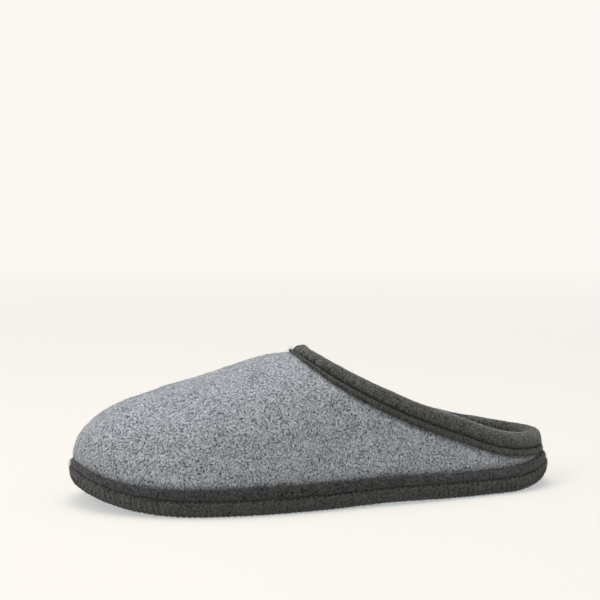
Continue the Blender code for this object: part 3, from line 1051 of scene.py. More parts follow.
def hair_tree() -> bpy.types.NodeTree:
    """Loose bent hairs scattered over a surface and lying nearly flat on it."""
    if "loose hairs" in bpy.data.node_groups:
        return bpy.data.node_groups["loose hairs"]
    bench, given, result = new_tree(
        "GeometryNodeTree", "loose hairs",
        (
            ("Geometry", GEOMETRY, None),
            ("Density", FLOAT, 100000.0),
            ("Length", FLOAT, 0.003),
            ("Thickness", FLOAT, 0.0001),
            ("Arch", FLOAT, 0.0004),
            ("Tilt", FLOAT, 0.25),
            ("Seed", "NodeSocketInt", 1),
            ("Material", "NodeSocketMaterial", None),
        ),
        (("Geometry", GEOMETRY),),
    )
    length = given.outputs["Length"]
    arch = given.outputs["Arch"]
    seed = given.outputs["Seed"]
    sockets = {"Mesh": given.outputs["Geometry"], "Density": given.outputs["Density"], "Seed": seed}
    scatter = bench.add("GeometryNodeDistributePointsOnFaces", sockets, distribute_method="RANDOM")
    half = bench.math("MULTIPLY", length, 0.5)
    side = bench.math("MULTIPLY", length, HAIR_SWEEP)
    middle = bench.vector(half, side, bench.math("MULTIPLY", arch, HAIR_CREST))
    end = bench.vector(length, 0.0, bench.math("MULTIPLY", arch, HAIR_DIP))
    sockets = {"Resolution": 3, "Start": (0.0, 0.0, 0.0), "Middle": middle, "End": end}
    curve = bench.add("GeometryNodeCurveQuadraticBezier", sockets)
    thick = bench.math("MULTIPLY", given.outputs["Thickness"], 0.5)
    profile = bench.add("GeometryNodeCurvePrimitiveCircle", {"Resolution": 3, "Radius": thick})
    hair = bench.tube(curve.outputs[0], profile.outputs[0])
    sockets = {0: (0.0, 0.0, 0.0), 1: (0.0, 0.0, 2 * pi), "Seed": seed}
    spin = bench.add("FunctionNodeRandomValue", sockets, data_type="FLOAT_VECTOR")
    down = bench.math("MULTIPLY", given.outputs["Tilt"], -1.0)
    lean = bench.chance(down, HAIR_TILT_UP, bench.math("ADD", seed, 7.0))
    heading = bench.turn(scatter.outputs["Rotation"], spin.outputs[0])
    heading = bench.turn(heading, bench.vector(0.0, lean, 0.0))
    size = bench.chance(*HAIR_SCALE, bench.math("ADD", seed, 13.0))
    sockets = {"Points": scatter.outputs["Points"], "Instance": hair, "Rotation": heading, "Scale": size}
    spread = bench.add("GeometryNodeInstanceOnPoints", sockets)
    bench.close(spread.outputs[0], given.outputs["Material"], result)
    return bench.tree


# Radius and offset of one ply as shares of the yarn's radius, and the sides of each ply
PLY_RADIUS = 0.62
PLY_OFFSET = 0.40
THREAD_SIDES = 5
YARN_SIDES = 6


def yarn_tree() -> bpy.types.NodeTree:
    """Two-ply yarn drawn along each spline, twisted and thin at both ends."""
    if "twisted yarn" in bpy.data.node_groups:
        return bpy.data.node_groups["twisted yarn"]
    bench, given, result = new_tree(
        "GeometryNodeTree", "twisted yarn",
        (
            ("Geometry", GEOMETRY, None),
            ("Ply Radius", FLOAT, 0.0008),
            ("Ply Offset", FLOAT, 0.0005),
            ("Twist", FLOAT, 9.0),
            ("Sides", "NodeSocketInt", 6),
            ("Material", "NodeSocketMaterial", None),
        ),
        (("Geometry", GEOMETRY),),
    )
    along = bench.add("GeometryNodeSplineParameter").outputs["Factor"]
    twisted = bench.add("GeometryNodeSetCurveTilt", {"Curve": given.outputs["Geometry"]})
    bench.feed(twisted.inputs["Tilt"], bench.math("MULTIPLY", along, given.outputs["Twist"]))
    plies = bench.add("GeometryNodeJoinGeometry")
    sockets = {"Resolution": given.outputs["Sides"], "Radius": given.outputs["Ply Radius"]}
    for side in (-1.0, 1.0):
        ring = bench.add("GeometryNodeCurvePrimitiveCircle", sockets)
        shift = bench.vector(bench.math("MULTIPLY", given.outputs["Ply Offset"], side))
        moved = bench.add("GeometryNodeTransform", {"Geometry": ring.outputs[0], "Translation": shift})
        bench.feed(plies.inputs[0], bench.tube(twisted.outputs[0], moved.outputs[0]))
    smooth = bench.add("GeometryNodeSetShadeSmooth", {"Geometry": plies.outputs[0]})
    bench.close(smooth.outputs[0], given.outputs["Material"], result)
    return bench.tree


def keep_above_floor(mesh: bpy.types.Mesh) -> None:
    """Lift points that hang under the floor up to it.

    Args:
        mesh: The mesh.
    """
    points = np.empty(len(mesh.vertices) * 3, np.float32)
    mesh.vertices.foreach_get("co", points)
    points[2::3] = np.maximum(points[2::3], 0.0)
    mesh.vertices.foreach_set("co", points)
    mesh.update()


def yarn_piece(name: str, paths: list, finish: FeltFinish, radius: float, twist: float,
               sides: int) -> bpy.types.Object:
    """Joined mesh of yarn along several paths.

    Args:
        name: Name of the piece.
        paths: One array of points, and one of thickness shares, a path.
        finish: Finish of the yarn.
        radius: Radius of the whole yarn.
        twist: Turn of the plies from end to end, in radians.
        sides: Sides of each ply.

    Returns:
        The piece.
    """
    curve = bpy.data.curves.new(name + " paths", "CURVE")
    curve.dimensions = "3D"
    curve.twist_mode = "Z_UP"
    for points, shares in paths:
        spline = curve.splines.new("POLY")
        spline.points.add(len(points) - 1)
        spline.points.foreach_set("co", np.column_stack([points, np.ones(len(points))]).ravel())
        spline.points.foreach_set("radius", shares)
    thing = placed(name + " paths", curve)
    values = {"Ply Radius": radius * PLY_RADIUS, "Ply Offset": radius * PLY_OFFSET, "Twist": twist,
              "Sides": sides, "Material": finish.make()}
    piece = node_result(thing, yarn_tree(), values, name)
    keep_above_floor(piece.data)
    return piece


@dataclass(frozen=True)
class Hairs:
    """Loose hairs over one felt."""

    density: float
    length: float
    thickness: float
    arch: float
    tilt: float
    seed: int

    def grow(self, name: str, points: np.ndarray, faces: list, finish: FeltFinish, slot: str) -> None:
        """Scatter the hairs over faces as one joined piece.

        Args:
            name: Name of the piece.
            points: Points of the surface that carries them.
            faces: Its faces, wound to face outwards.
            finish: Finish of the hairs.
            slot: Not used.
        """
        mesh = bpy.data.meshes.new(name + " ground")
        mesh.from_pydata(points.tolist(), [], [tuple(face) for face in faces])
        ground = placed(name + " ground", mesh)
        values = {"Density": self.density, "Length": self.length, "Thickness": self.thickness,
                  "Arch": self.arch, "Tilt": self.tilt, "Seed": self.seed, "Material": finish.make()}
        piece = node_result(ground, hair_tree(), values, name)
        keep_above_floor(piece.data)
        dress(piece, finish)


# Places along a crease, and the part of a half wave over which its depth comes and goes
CREASE_STEPS = 40
CREASE_SPAN = (0.04, 0.96)


@dataclass(frozen=True)
class Crease:
    """Soft trough or ridge placed on the felt."""

    places: tuple
    width: float
    depth: float

    def press(self, last: Last, points: np.ndarray) -> np.ndarray:
        """Depth of the crease at each point.

        Args:
            last: The last that carries it.
            points: Points of the felt before they are centred.

        Returns:
            Metres inwards at each point.
        """
        ways, degrees = np.array(self.places, float).T
        steps = np.linspace(0, len(ways) - 1, CREASE_STEPS)
        rows = np.arange(len(ways))
        way = natural_spline(rows, ways, steps)
        angle = natural_spline(rows, degrees, steps)
        line = last.skin(way, np.radians(angle))
        fade = np.sin(pi * np.linspace(*CREASE_SPAN, CREASE_STEPS)) ** 0.7
        flat = points.reshape(-1, 3)
        best = np.zeros(len(flat))
        for place, share in zip(line, fade):
            far = ((flat - place) ** 2).sum(axis=1) / self.width ** 2
            best = np.maximum(best, share * np.exp(-far))
        return (self.depth * best).reshape(points.shape[:-1])


# Way from toe to heel and degrees down from the ridge, lateral positive
CREASES = (
    Crease(((0.27, -52), (0.30, -10), (0.31, 30), (0.29, 62)), 0.0110, 0.0003),
    Crease(((0.36, -60), (0.37, -20), (0.37, 22), (0.35, 55)), 0.0100, 0.0003),
    Crease(((0.33, -45), (0.335, 0), (0.33, 44)), 0.0090, -0.0002),
    Crease(((0.45, 38), (0.50, 56), (0.57, 68)), 0.0080, 0.0006),
    Crease(((0.45, -38), (0.50, -56), (0.57, -68)), 0.0080, 0.0006),
    Crease(((0.58, 62), (0.68, 72), (0.80, 78)), 0.0100, 0.0005),
    Crease(((0.58, -62), (0.68, -72), (0.80, -78)), 0.0100, 0.0005),
    Crease(((0.08, 40), (0.14, 62), (0.24, 74)), 0.0110, -0.0004),
    Crease(((0.08, -40), (0.14, -62), (0.24, -74)), 0.0110, -0.0004),
)


@dataclass
class FeltUpper:
    """Hollow felt shell of the upper, with its soft dents and loose hairs."""

    last: Last
    wall: float = 0.0030
    front_columns: int = 100
    back_columns: int = 120
    rows: int = 76
    dent: float = 0.00022
    dent_wave: float = 0.042
    ripple: float = 0.00012
    ripple_wave: float = 0.011
    held: float = 0.005
    foot_fade: float = 0.012
    sewn: float = 0.006
    edge_fade: float = 0.014
    least: float = 0.15
    rand_height: float = 0.0058
    binding_depth: float = 0.0110
    border_blur: float = 0.0017
    border_shade: float = 0.50
    ragged: float = 0.35
    ragged_wave: float = 0.0035
    hairs: Hairs = Hairs(260000.0, 0.0030, 0.00010, 0.00025, 0.10, 3)

    def faces_out(self) -> tuple[np.ndarray, np.ndarray]:
        """Outer face of the felt and its normals, row by row from the foot up."""
        columns = self.last.columns(self.front_columns, self.back_columns)
        share = np.linspace(0, 1, self.rows + 1)[:, None]
        way = columns[:, 0] + (columns[:, 1] - columns[:, 0]) * share
        quarter = columns[:, 3] * pi / 2
        angle = quarter + (columns[:, 2] - quarter) * share
        skin = self.last.skin(way, angle)
        normals = grid_normals(skin)
        self.join_ridge(normals)
        normals = unit(normals)
        push = np.zeros(skin.shape[:-1])
        for crease in CREASES:
            push -= crease.press(self.last, skin)
        low = self.last.foot_height(skin[..., 0])
        free = np.clip((skin[..., 2] - low - self.held) / self.foot_fade, 0, 1)
        edge = np.linalg.norm(skin - skin[-1], axis=-1)
        behind = np.arange(len(columns))
        front = (behind <= self.front_columns) | (behind >= len(columns) - self.front_columns)
        calm = np.where(front, 1.0, np.clip((edge - self.sewn) / self.edge_fade, 0, 1))
        push = push * free * calm
        push += self.dent * swell(skin, self.dent_wave, 5) * free * calm
        push += self.ripple * swell(skin, self.ripple_wave, 9) * np.clip(free * calm, self.least, 1)
        self.join_ridge(push)
        return skin + normals * push[..., None], normals

    def painted_border_shade(self, outer: np.ndarray) -> np.ndarray:
        """Ragged darkening of the felt beside the rand and the binding's flap: painted shade where the felt
        runs under them, blurred like dark fuzz.

        Args:
            outer: Outer face, row by row from the foot up.

        Returns:
            Darkening at each point.
        """
        columns = self.last.columns(self.front_columns, self.back_columns)
        ways, shares = zip(*RAND_TAPER)
        tall = natural_spline(np.array(ways), np.array(shares), columns[:, 0]) * self.rand_height
        over = outer[..., 2] - self.last.foot_height(outer[..., 0]) - tall
        beside = np.full(over.shape, self.last.length)
        throat = outer[-1, self.front_columns]
        for place in outer[-1, self.front_columns:len(columns) - self.front_columns + 1]:
            near = np.exp(-((place - throat) ** 2).sum() / THROAT_REACH ** 2)
            covered = self.binding_depth - near * THROAT_TRIM
            beside = np.minimum(beside, np.linalg.norm(outer - place, axis=-1) - covered)
        gap = np.clip(np.minimum(over, beside), 0, None)
        ragged = self.border_blur * (1 + self.ragged * swell(outer, self.ragged_wave, 13))
        return self.border_shade * np.exp(-(gap / ragged) ** 2)

    def join_ridge(self, values: np.ndarray) -> None:
        """Give both sides of the ridge the same values.

        Args:
            values: One value or vector a point, changed in place.
        """
        j = np.arange(1, self.front_columns + 1)
        middle = (values[-1, j] + values[-1, -j]) / 2
        values[-1, j] = middle
        values[-1, -j] = middle

    def build(self) -> None:
        """Build and dress the upper and its hairs."""
        outer, normals = self.faces_out()
        inner = outer - normals * self.wall
        count = outer.shape[1]
        block = (self.rows + 1) * count
        quads = grid_quads(self.rows + 1, count)
        column = np.arange(count)
        after = (column + 1) % count
        foot = np.stack([column, after, block + after, block + column], axis=-1)
        top = foot + self.rows * count
        open_top = (column >= self.front_columns) & (column < count - self.front_columns)
        faces = np.vstack([quads, quads[:, ::-1] + block, foot, top[open_top]])
        points = np.concatenate([outer, inner]).reshape(-1, 3) - self.last.centre
        shade = np.concatenate([self.painted_border_shade(outer).ravel(), np.zeros(block)])
        piece = make_mesh("upper_felt", points, faces.tolist(), shade, merge=2e-6)
        dress(piece, UPPER_FELT, "upper")
        ground = outer.reshape(-1, 3) - self.last.centre
        self.hairs.grow("upper_hairs", ground, quads.tolist(), PALE_HAIR, "upper_felt")


@dataclass
class CollarBinding:
    """Felt strip folded over the collar's edge, with a fat roll, a sewn groove and a flap."""

    last: Last
    depth: float = 0.0110
    rand_height: float = 0.0058
    groove_drop: float = 0.0069
    columns: int = 190
    face_points: int = 64
    track_steps: int = 20
    stitch_pitch: float = 0.0042
    stitch_length: float = 0.0030
    stitch_steps: int = 9
    stitch_radius: float = 0.00034
    stitch_arch: float = 0.00045
    stitch_sink: float = 0.0003
    stitch_twist: float = 5.0
    stitch_out: tuple = (0.0004, 0.0014)
    pucker: float = 0.00022
    lump: float = 0.00018
    lumps: tuple = ((0.014, 21, 1.0), (0.0045, 22, 0.5))
    roll_margin: float = 0.0004
    inside: float = -0.0015
    throat_swell: float = 0.22
    pucker_reach: float = 0.0016
    groove_reach: float = 0.0008
    groove_shade: float = 0.80
    flap_shade: float = 0.28
    lip_rows: int = 5
    # Pale thread that stands in for the highlight on the roll's inner top edge: painted highlight
    highlight_thread: float = 0.00026
    highlight_thread_row: int = 33
    highlight_thread_twist: float = 40.0
    hub_rows: int = 12
    highlight_thread_span: tuple = (0.44, 0.76)
    hairs: Hairs = Hairs(420000.0, 0.0022, 0.00009, 0.00030, 0.35, 11)
    fringe: Hairs = Hairs(1000000.0, 0.0026, 0.00013, 0.00030, 0.25, 12)

    path: np.ndarray = field(init=False, repr=False, default=None)
    normal: np.ndarray = field(init=False, repr=False, default=None)
    first: np.ndarray = field(init=False, repr=False, default=None)
    along: np.ndarray = field(init=False, repr=False, default=None)
    length: float = field(init=False, default=0.0)

    def tracks(self) -> tuple[np.ndarray, np.ndarray, np.ndarray, np.ndarray]:
        """Paths down the skin from the collar's edge, square to it.

        Returns:
            Points and normals by step and column, first heading and usable depth of each column.
        """
        turn = np.linspace(0, 1, self.columns + 1)
        way = self.last.throat + (1 - self.last.throat) * (1 - np.cos(pi * turn)) / 2
        lateral = self.last.collar_angle(way, Side.LATERAL)
        medial = self.last.collar_angle(way, Side.MEDIAL)
        lateral[0] = 0.0
        angle = np.append(lateral, medial[-2:0:-1])
        way = np.append(way, way[-2:0:-1])
        along, around, normal = self.last.slopes(way, angle)
        point = self.last.skin(way, angle)
        heading = unit(np.cross(np.roll(point, -1, axis=0) - np.roll(point, 1, axis=0), normal))
        first = heading
        points = [point]
        normals = [normal]
        stride = self.depth / self.track_steps
        for _ in range(self.track_steps):
            aa = (along * along).sum(axis=1)
            ab = (along * around).sum(axis=1)
            bb = (around * around).sum(axis=1)
            ah = (along * heading).sum(axis=1)
            bh = (around * heading).sum(axis=1)
            fixed = aa * bb - ab * ab
            way = way + stride * (ah * bb - bh * ab) / fixed
            angle = angle + stride * (bh * aa - ah * ab) / fixed
            along, around, normal = self.last.slopes(way, angle)
            heading = unit(heading - normal * (heading * normal).sum(axis=1, keepdims=True))
            points.append(self.last.skin(way, angle))
            normals.append(normal)
        low = self.last.foot_height(points[0][:, 0]) + self.rand_height + self.last.clearance
        deep = np.minimum(self.depth, points[0][:, 2] - low)
        return np.array(points), np.array(normals), first, deep

    def place(self, drop: np.ndarray, out: np.ndarray) -> np.ndarray:
        """Points at a drop from the felt's edge and a distance out from its face, for every column.

        Args:
            drop: Metres down from the edge, rows by columns.
            out: Metres out from the felt's outer face, rows by columns.

        Returns:
            Points, rows by columns by three.
        """
        step = np.clip(drop / self.depth * self.track_steps, 0, self.track_steps - 1e-6)
        i = step.astype(int)
        part = (step - i)[..., None]
        each = np.broadcast_to(np.arange(drop.shape[1]), drop.shape)
        point = self.path[i, each] * (1 - part) + self.path[i + 1, each] * part
        normal = self.normal[i, each] * (1 - part) + self.normal[i + 1, each] * part
        return point + normal * out[..., None] + self.first * np.minimum(drop, 0)[..., None]

    def build(self) -> None:
        """Build and dress the binding, its stitches and its hairs."""
        self.path, self.normal, self.first, deep = self.tracks()
        edge = self.path[0]
        steps = np.linalg.norm(np.roll(edge, -1, axis=0) - edge, axis=1)
        along = np.append(0, np.cumsum(steps))[:-1]
        self.length = steps.sum()
        self.along = along
        face = smooth_line(np.array(BINDING_FACE) * MM, self.face_points)
        fold = np.array(BINDING_FOLD) * MM
        section = np.vstack([face, fold])
        share = deep / self.depth
        near = np.exp(-((edge - edge[0]) ** 2).sum(axis=1) / THROAT_REACH ** 2)
        past = np.clip((section[:, :1] - self.groove_drop) / (self.depth - self.groove_drop), 0, None)
        drop = section[:, :1] * np.where(section[:, :1] > 0, share, 1.0) - past * near * THROAT_TRIM
        roll = (section[:, :1] < self.groove_drop - self.roll_margin) & (section[:, 1:] > 0)
        out = section[:, 1:] * (1 + self.throat_swell * near * roll)
        seen = np.zeros(len(section))
        seen[:self.face_points] = np.clip(np.sin(np.linspace(0, pi, self.face_points)) * 2, 0, 1)
        count = round(self.length / self.stitch_pitch)
        wave = np.cos(2 * pi * along / self.length * count)
        puckered = np.exp(-((section[:, 0] - self.groove_drop) / self.pucker_reach) ** 2)
        flesh = np.where(section[:, 1] > self.inside, 1.0, -1.0) * seen
        rough = self.place(drop, out)
        out = out - puckered[:, None] * seen[:, None] * self.pucker * (1 + wave)
        for wave, seed, gain in self.lumps:
            out = out + gain * self.lump * swell(rough, wave, seed) * flesh[:, None]
        points = self.place(drop, out)
        outside = section[:, 1] > 0
        beyond = (section[:, 0] - self.groove_drop) / self.groove_reach
        groove = self.groove_shade * np.exp(-beyond ** 2) * outside
        flap = self.flap_shade * np.clip(beyond, 0, 1) * outside
        shade = np.repeat(np.maximum(groove, flap)[:, None], len(edge), axis=1)
        down = np.append(0, np.cumsum(np.linalg.norm(np.diff(section, axis=0), axis=1)))
        track = np.stack(np.broadcast_arrays(along[None, :], down[:, None]), axis=-1)
        quads = grid_quads(len(section), len(edge), closed=True)
        flat = points.reshape(-1, 3) - self.last.centre
        piece = make_mesh("collar_binding_felt", flat, quads.tolist(), shade, track)
        dress(piece, BINDING_FELT, "collar_binding")
        self.stitch(share)
        self.lay_highlight_thread(points)
        ground = grid_quads(self.face_points, len(edge))
        self.hairs.grow("binding_hairs", flat, ground[:, ::-1].tolist(), GREY_HAIR, "binding_felt")
        rim = ground[ground[:, 0] < self.lip_rows * len(edge)]
        self.fringe.grow("binding_fringe", flat, rim[:, ::-1].tolist(), DARK_HAIR, "binding_felt")

    def lay_highlight_thread(self, points: np.ndarray) -> None:
        """Lay a pale thread along the roll's inner top edge on the lateral side, near the heel: a painted
        highlight where that edge catches light.

        Args:
            points: Points of the binding before they are centred, rows by columns.
        """
        first, last = (round(share * self.columns) for share in self.highlight_thread_span)
        row = self.highlight_thread_row
        crest = (points[row, first:last] + points[row + 1, first:last]) / 2
        hub = points[row - self.hub_rows:row + self.hub_rows, first:last].mean(axis=0)
        spots = crest + unit(crest - hub) * self.highlight_thread * 0.5 - self.last.centre
        ends = np.sin(pi * np.linspace(0.02, 0.98, len(spots))) ** 0.6
        twist = self.highlight_thread_twist
        piece = yarn_piece("highlight_thread", [(spots, ends)], PALE_HAIR, self.highlight_thread, twist, THREAD_SIDES)
        dress(piece, PALE_HAIR)

    def stitch(self, share: np.ndarray) -> None:
        """Sew the groove with short sunk stitches.

        Args:
            share: Usable depth of each column as a share of the whole.
        """
        count = round(self.length / self.stitch_pitch)
        columns = len(share)
        fine = np.linspace(0, 1, self.stitch_steps)
        along = np.append(self.along, self.length) / self.length
        drop = np.full((1, columns), self.groove_drop) * share
        outs = [np.full_like(drop, out) for out in self.stitch_out]
        line, up = (self.place(drop, out)[0] - self.last.centre for out in outs)
        line = np.vstack([line, line[:1]])
        up = unit(np.vstack([up, up[:1]]) - line)
        paths = []
        for number in range(count):
            at = (number + 0.5 + (fine - 0.5) * self.stitch_length / self.stitch_pitch) / count
            spots = np.stack([np.interp(at, along, line[:, axis]) for axis in range(3)], axis=-1)
            lean = np.stack([np.interp(at, along, up[:, axis]) for axis in range(3)], axis=-1)
            arch = self.stitch_arch * np.sin(pi * fine) ** 0.6 - self.stitch_sink
            paths.append((spots + lean * arch[:, None], np.ones(len(fine))))
        twist = self.stitch_twist
        piece = yarn_piece("binding_stitches", paths, THREAD, self.stitch_radius, twist, THREAD_SIDES)
        dress(piece, THREAD)


@dataclass
class Rand:
    """Dark felt strip around the foot of the upper."""

    last: Last
    height: float = 0.0058
    wall: float = 0.0024
    front_columns: int = 150
    back_columns: int = 170
    section_points: int = 26
    wave: float = 0.00016
    waves: tuple = ((0.012, 31, 1.0), (0.004, 32, 0.6))
    pinch: float = 0.75
    pinch_reach: float = 0.13
    # Painted light towards the toe, for the light and pale fuzz on it; painted shade in the groove at the
    # rand's foot and along its top edge
    painted_toe_light: float = 0.30
    painted_shade_bands: tuple = ((0.0, 0.10, 0.7), (1.02, 0.05, 0.25))
    rim_rows: int = 10
    hairs: Hairs = Hairs(420000.0, 0.0022, 0.00009, 0.00030, 0.35, 17)
    fringe: Hairs = Hairs(900000.0, 0.0026, 0.00013, 0.00030, 0.25, 19)

    def build(self) -> None:
        """Build and dress the rand and its hairs."""
        columns = self.last.columns(self.front_columns, self.back_columns)
        way = columns[:, 0]
        side = columns[:, 3]
        turn = side * way / 2
        ways, shares = zip(*RAND_TAPER)
        tall = natural_spline(np.array(ways), np.array(shares), way) * self.height
        section = smooth_line(np.array(RAND_SECTION), self.section_points)
        foot = self.last.foot_inset
        outward = unit(self.last.rim(turn, foot) - self.last.rim(turn, foot + self.last.clearance))
        ends = np.exp(-(way / self.pinch_reach) ** 2) + np.exp(-((1 - way) / self.pinch_reach) ** 2)
        pinch = self.pinch * ends
        rings = []
        for rise, out in section:
            climb = np.clip(rise, 0, 1.05) * tall
            point = self.last.rise(way, side, climb)
            thick = out * self.wall * (1 - pinch * np.clip(rise, 0, 1) ** 1.5)
            point[:, :2] += outward * (self.last.clearance + thick[:, None])
            point[:, 2] = self.last.foot_height(point[:, 0]) + rise * tall
            rings.append(point)
        points = np.array(rings)
        normals = grid_normals(points)
        body = np.clip(section[:, 1] * 2 - 0.4, 0, 1)[:, None]
        push = self.wave * sum(gain * swell(points, wave, seed) for wave, seed, gain in self.waves) * body
        flip = np.sign((normals[..., :2] * outward).sum(axis=-1).mean())
        points = points + normals * flip * push[..., None]
        back = self.last.rise(way, side, 0.5 * tall)
        back[:, :2] += outward * self.last.clearance
        points = np.concatenate([points, back[None]])
        climb = section[:, 0]
        # Painted shade at the rand's foot and top edge, and painted light towards the toe
        painted_shade_bands = [deep * np.exp(-((climb - middle) / reach) ** 2) for middle, reach, deep in self.painted_shade_bands]
        shade = np.append(sum(painted_shade_bands), 0.0)[:, None] - self.painted_toe_light * np.exp(-(way / self.pinch_reach) ** 2)
        flat = points.reshape(-1, 3) - self.last.centre
        quads = grid_quads(len(points), len(way), closed=True)
        piece = make_mesh("rand_felt", flat, quads.tolist(), shade)
        dress(piece, RAND_FELT, "rand")
        ground = grid_quads(self.section_points - 3, len(way))
        self.hairs.grow("rand_hairs", flat, ground.tolist(), GREY_HAIR, "rand_felt")
        ring = ground[:, 0] // len(way)
        rim = ground[ring >= self.section_points - self.rim_rows]
        self.fringe.grow("rand_fringe", flat, rim.tolist(), DARK_HAIR, "rand_felt")


@dataclass
class Outsole:
    """Thick felt sole with whip-stitched edge, border ring and crinkled latex underneath."""

    last: Last
    border: float = 0.0072
    groove: float = 0.0014
    groove_depth: float = 0.0007
    stitch_pitch: float = 0.0031
    columns_a_stitch: int = 5
    yarn_radius: float = 0.00115
    twist: float = 11.0
    route_points: int = 13
    outline_steps: int = 4001
    sink: float = 0.0006
    slant: float = 0.0042
    start: tuple = (0.0012, 0.0004)
    run: float = 0.0055
    reach: float = 0.0060
    dive: tuple = (0.0008, 0.0006)
    slip: float = 0.00016
    unevenness: float = 0.05
    bedding: float = 0.62
    floor_room: float = 1.03
    under_start: float = 0.0009
    under_thin: float = 0.26
    wrinkle: float = 0.00028
    drift: float = 0.004
    drift_wave: float = 0.02
    folds: tuple = ((0.009, 43, 0.72, 2.6), (0.0045, 44, 0.75, 1.4))
    side_points: int = 26
    across: int = 44
    border_profile: tuple = ((0.25, 0.0009), (0.6, 0.0009), (0.85, 0.0007), (0.97, 0.0003))
    groove_profile: tuple = ((0.0, 0.1), (0.25, 0.9), (0.5, 1.0), (0.75, 0.9), (1.0, 0.1))
    plate_start: float = 1.02
    relief_fade: float = 14.0
    shaded_rings: int = 3
    top_shade: float = 0.55
    groove_rings: int = 4
    groove_shade: float = 0.5
    perimeter: float = field(init=False, default=0.0)
    fine_turn: np.ndarray = field(init=False, repr=False, default=None)
    fine_along: np.ndarray = field(init=False, repr=False, default=None)
    hairs: Hairs = Hairs(420000.0, 0.0022, 0.00009, 0.00030, 0.35, 23)

    def turns(self) -> tuple[np.ndarray, np.ndarray, int]:
        """Places on the turn evenly spaced along the outline.

        Returns:
            Turn of each column, distance along to it, and the number of stitches.
        """
        fine = np.linspace(0, 1, self.outline_steps)
        line = self.last.rim(fine)
        steps = np.append(0, np.cumsum(np.linalg.norm(np.diff(line, axis=0), axis=1)))
        self.perimeter = steps[-1]
        stitches = round(self.perimeter / self.stitch_pitch / 2) * 2
        count = stitches * self.columns_a_stitch
        even = np.arange(count) / count * steps[-1]
        self.fine_turn, self.fine_along = fine, steps
        return np.interp(even, steps, fine), even, stitches

    def build(self) -> None:
        """Build and dress the sole, its whip stitches and its hairs."""
        turn, even, stitches = self.turns()
        thick = self.last.sole_thickness
        wave = np.cos(2 * pi * even / self.perimeter * stitches)
        side = smooth_line(np.array(SOLE_SIDE) * thick, self.side_points)
        inset = side[:, :1] + self.sink * 0.5 * (1 - wave) * np.clip(1.3 - side[:, 1:] / thick, 0.35, 1)
        height = np.repeat(side[:, 1:], len(turn), axis=1)
        ground = self.last.lift
        rings = [self.last.ring(turn, row, ground, tall) for row, tall in zip(inset, height)]
        rim_end = side[-1, 0]
        level = np.ones(len(turn))
        for share, deep in self.border_profile:
            into = rim_end + (self.border - rim_end) * share
            rings.append(self.last.ring(turn, level * into, ground, level * deep))
        for share, deep in self.groove_profile:
            into = self.border + self.groove * share
            rings.append(self.last.ring(turn, level * into, ground, level * deep * self.groove_depth))
        points = np.array(rings)
        side_count = len(points)
        count = len(turn)
        into = self.border + self.groove * self.plate_start
        under, share = across_ring(self.last.ring(turn, level * into, ground, np.zeros(count)), self.across)
        under[..., 2] = ground(under[..., 0])
        fade = np.minimum(1, np.minimum(share, 1 - share) * self.relief_fade)
        under[..., 2] += self.crumple(under) * fade
        start = side_count * count
        side_quads = grid_quads(side_count, count)
        quads, fans = plate_faces(start, start - count, self.across - 1, count)
        lid = lid_faces(count)
        faces = side_quads.tolist() + quads.tolist() + fans + lid
        sizes = (len(side_quads), len(quads) + len(fans), len(lid))
        materials = np.repeat((0, 1, 0), sizes)
        all_points = np.vstack([points.reshape(-1, 3), under.reshape(-1, 3)]) - self.last.centre
        shade = np.zeros(len(all_points))
        shade[:count * self.shaded_rings] = self.top_shade
        shade[start - count * self.groove_rings:start] = self.groove_shade
        piece = make_mesh("outsole_felt", all_points, faces, shade)
        piece.data.materials.append(SOLE_FELT.make())
        piece.data.materials.append(LatexFinish().make())
        piece.data.polygons.foreach_set("material_index", materials)
        dress(piece, SOLE_FELT, "outsole")
        self.whip(stitches)
        around = grid_quads(self.side_points, count)
        self.hairs.grow("sole_hairs", all_points, around[:, ::-1].tolist(), GREY_HAIR, "coated_felt")

    def crumple(self, points: np.ndarray) -> np.ndarray:
        """Raised hollows of the crinkled latex, upwards from the floor.

        Args:
            points: Points of the underside.

        Returns:
            Metres upwards at each point.
        """
        drift = [swell(points, self.drift_wave, seed) for seed in (41, 42)]
        bend = points + self.drift * np.stack([*drift, np.zeros(points.shape[:-1])], axis=-1)
        folds = np.zeros(points.shape[:-1])
        for wave, seed, start, gain in self.folds:
            folds += np.clip(1 - np.abs(swell(bend, wave, seed)) - start, 0, 1) * gain
        return self.wrinkle * folds

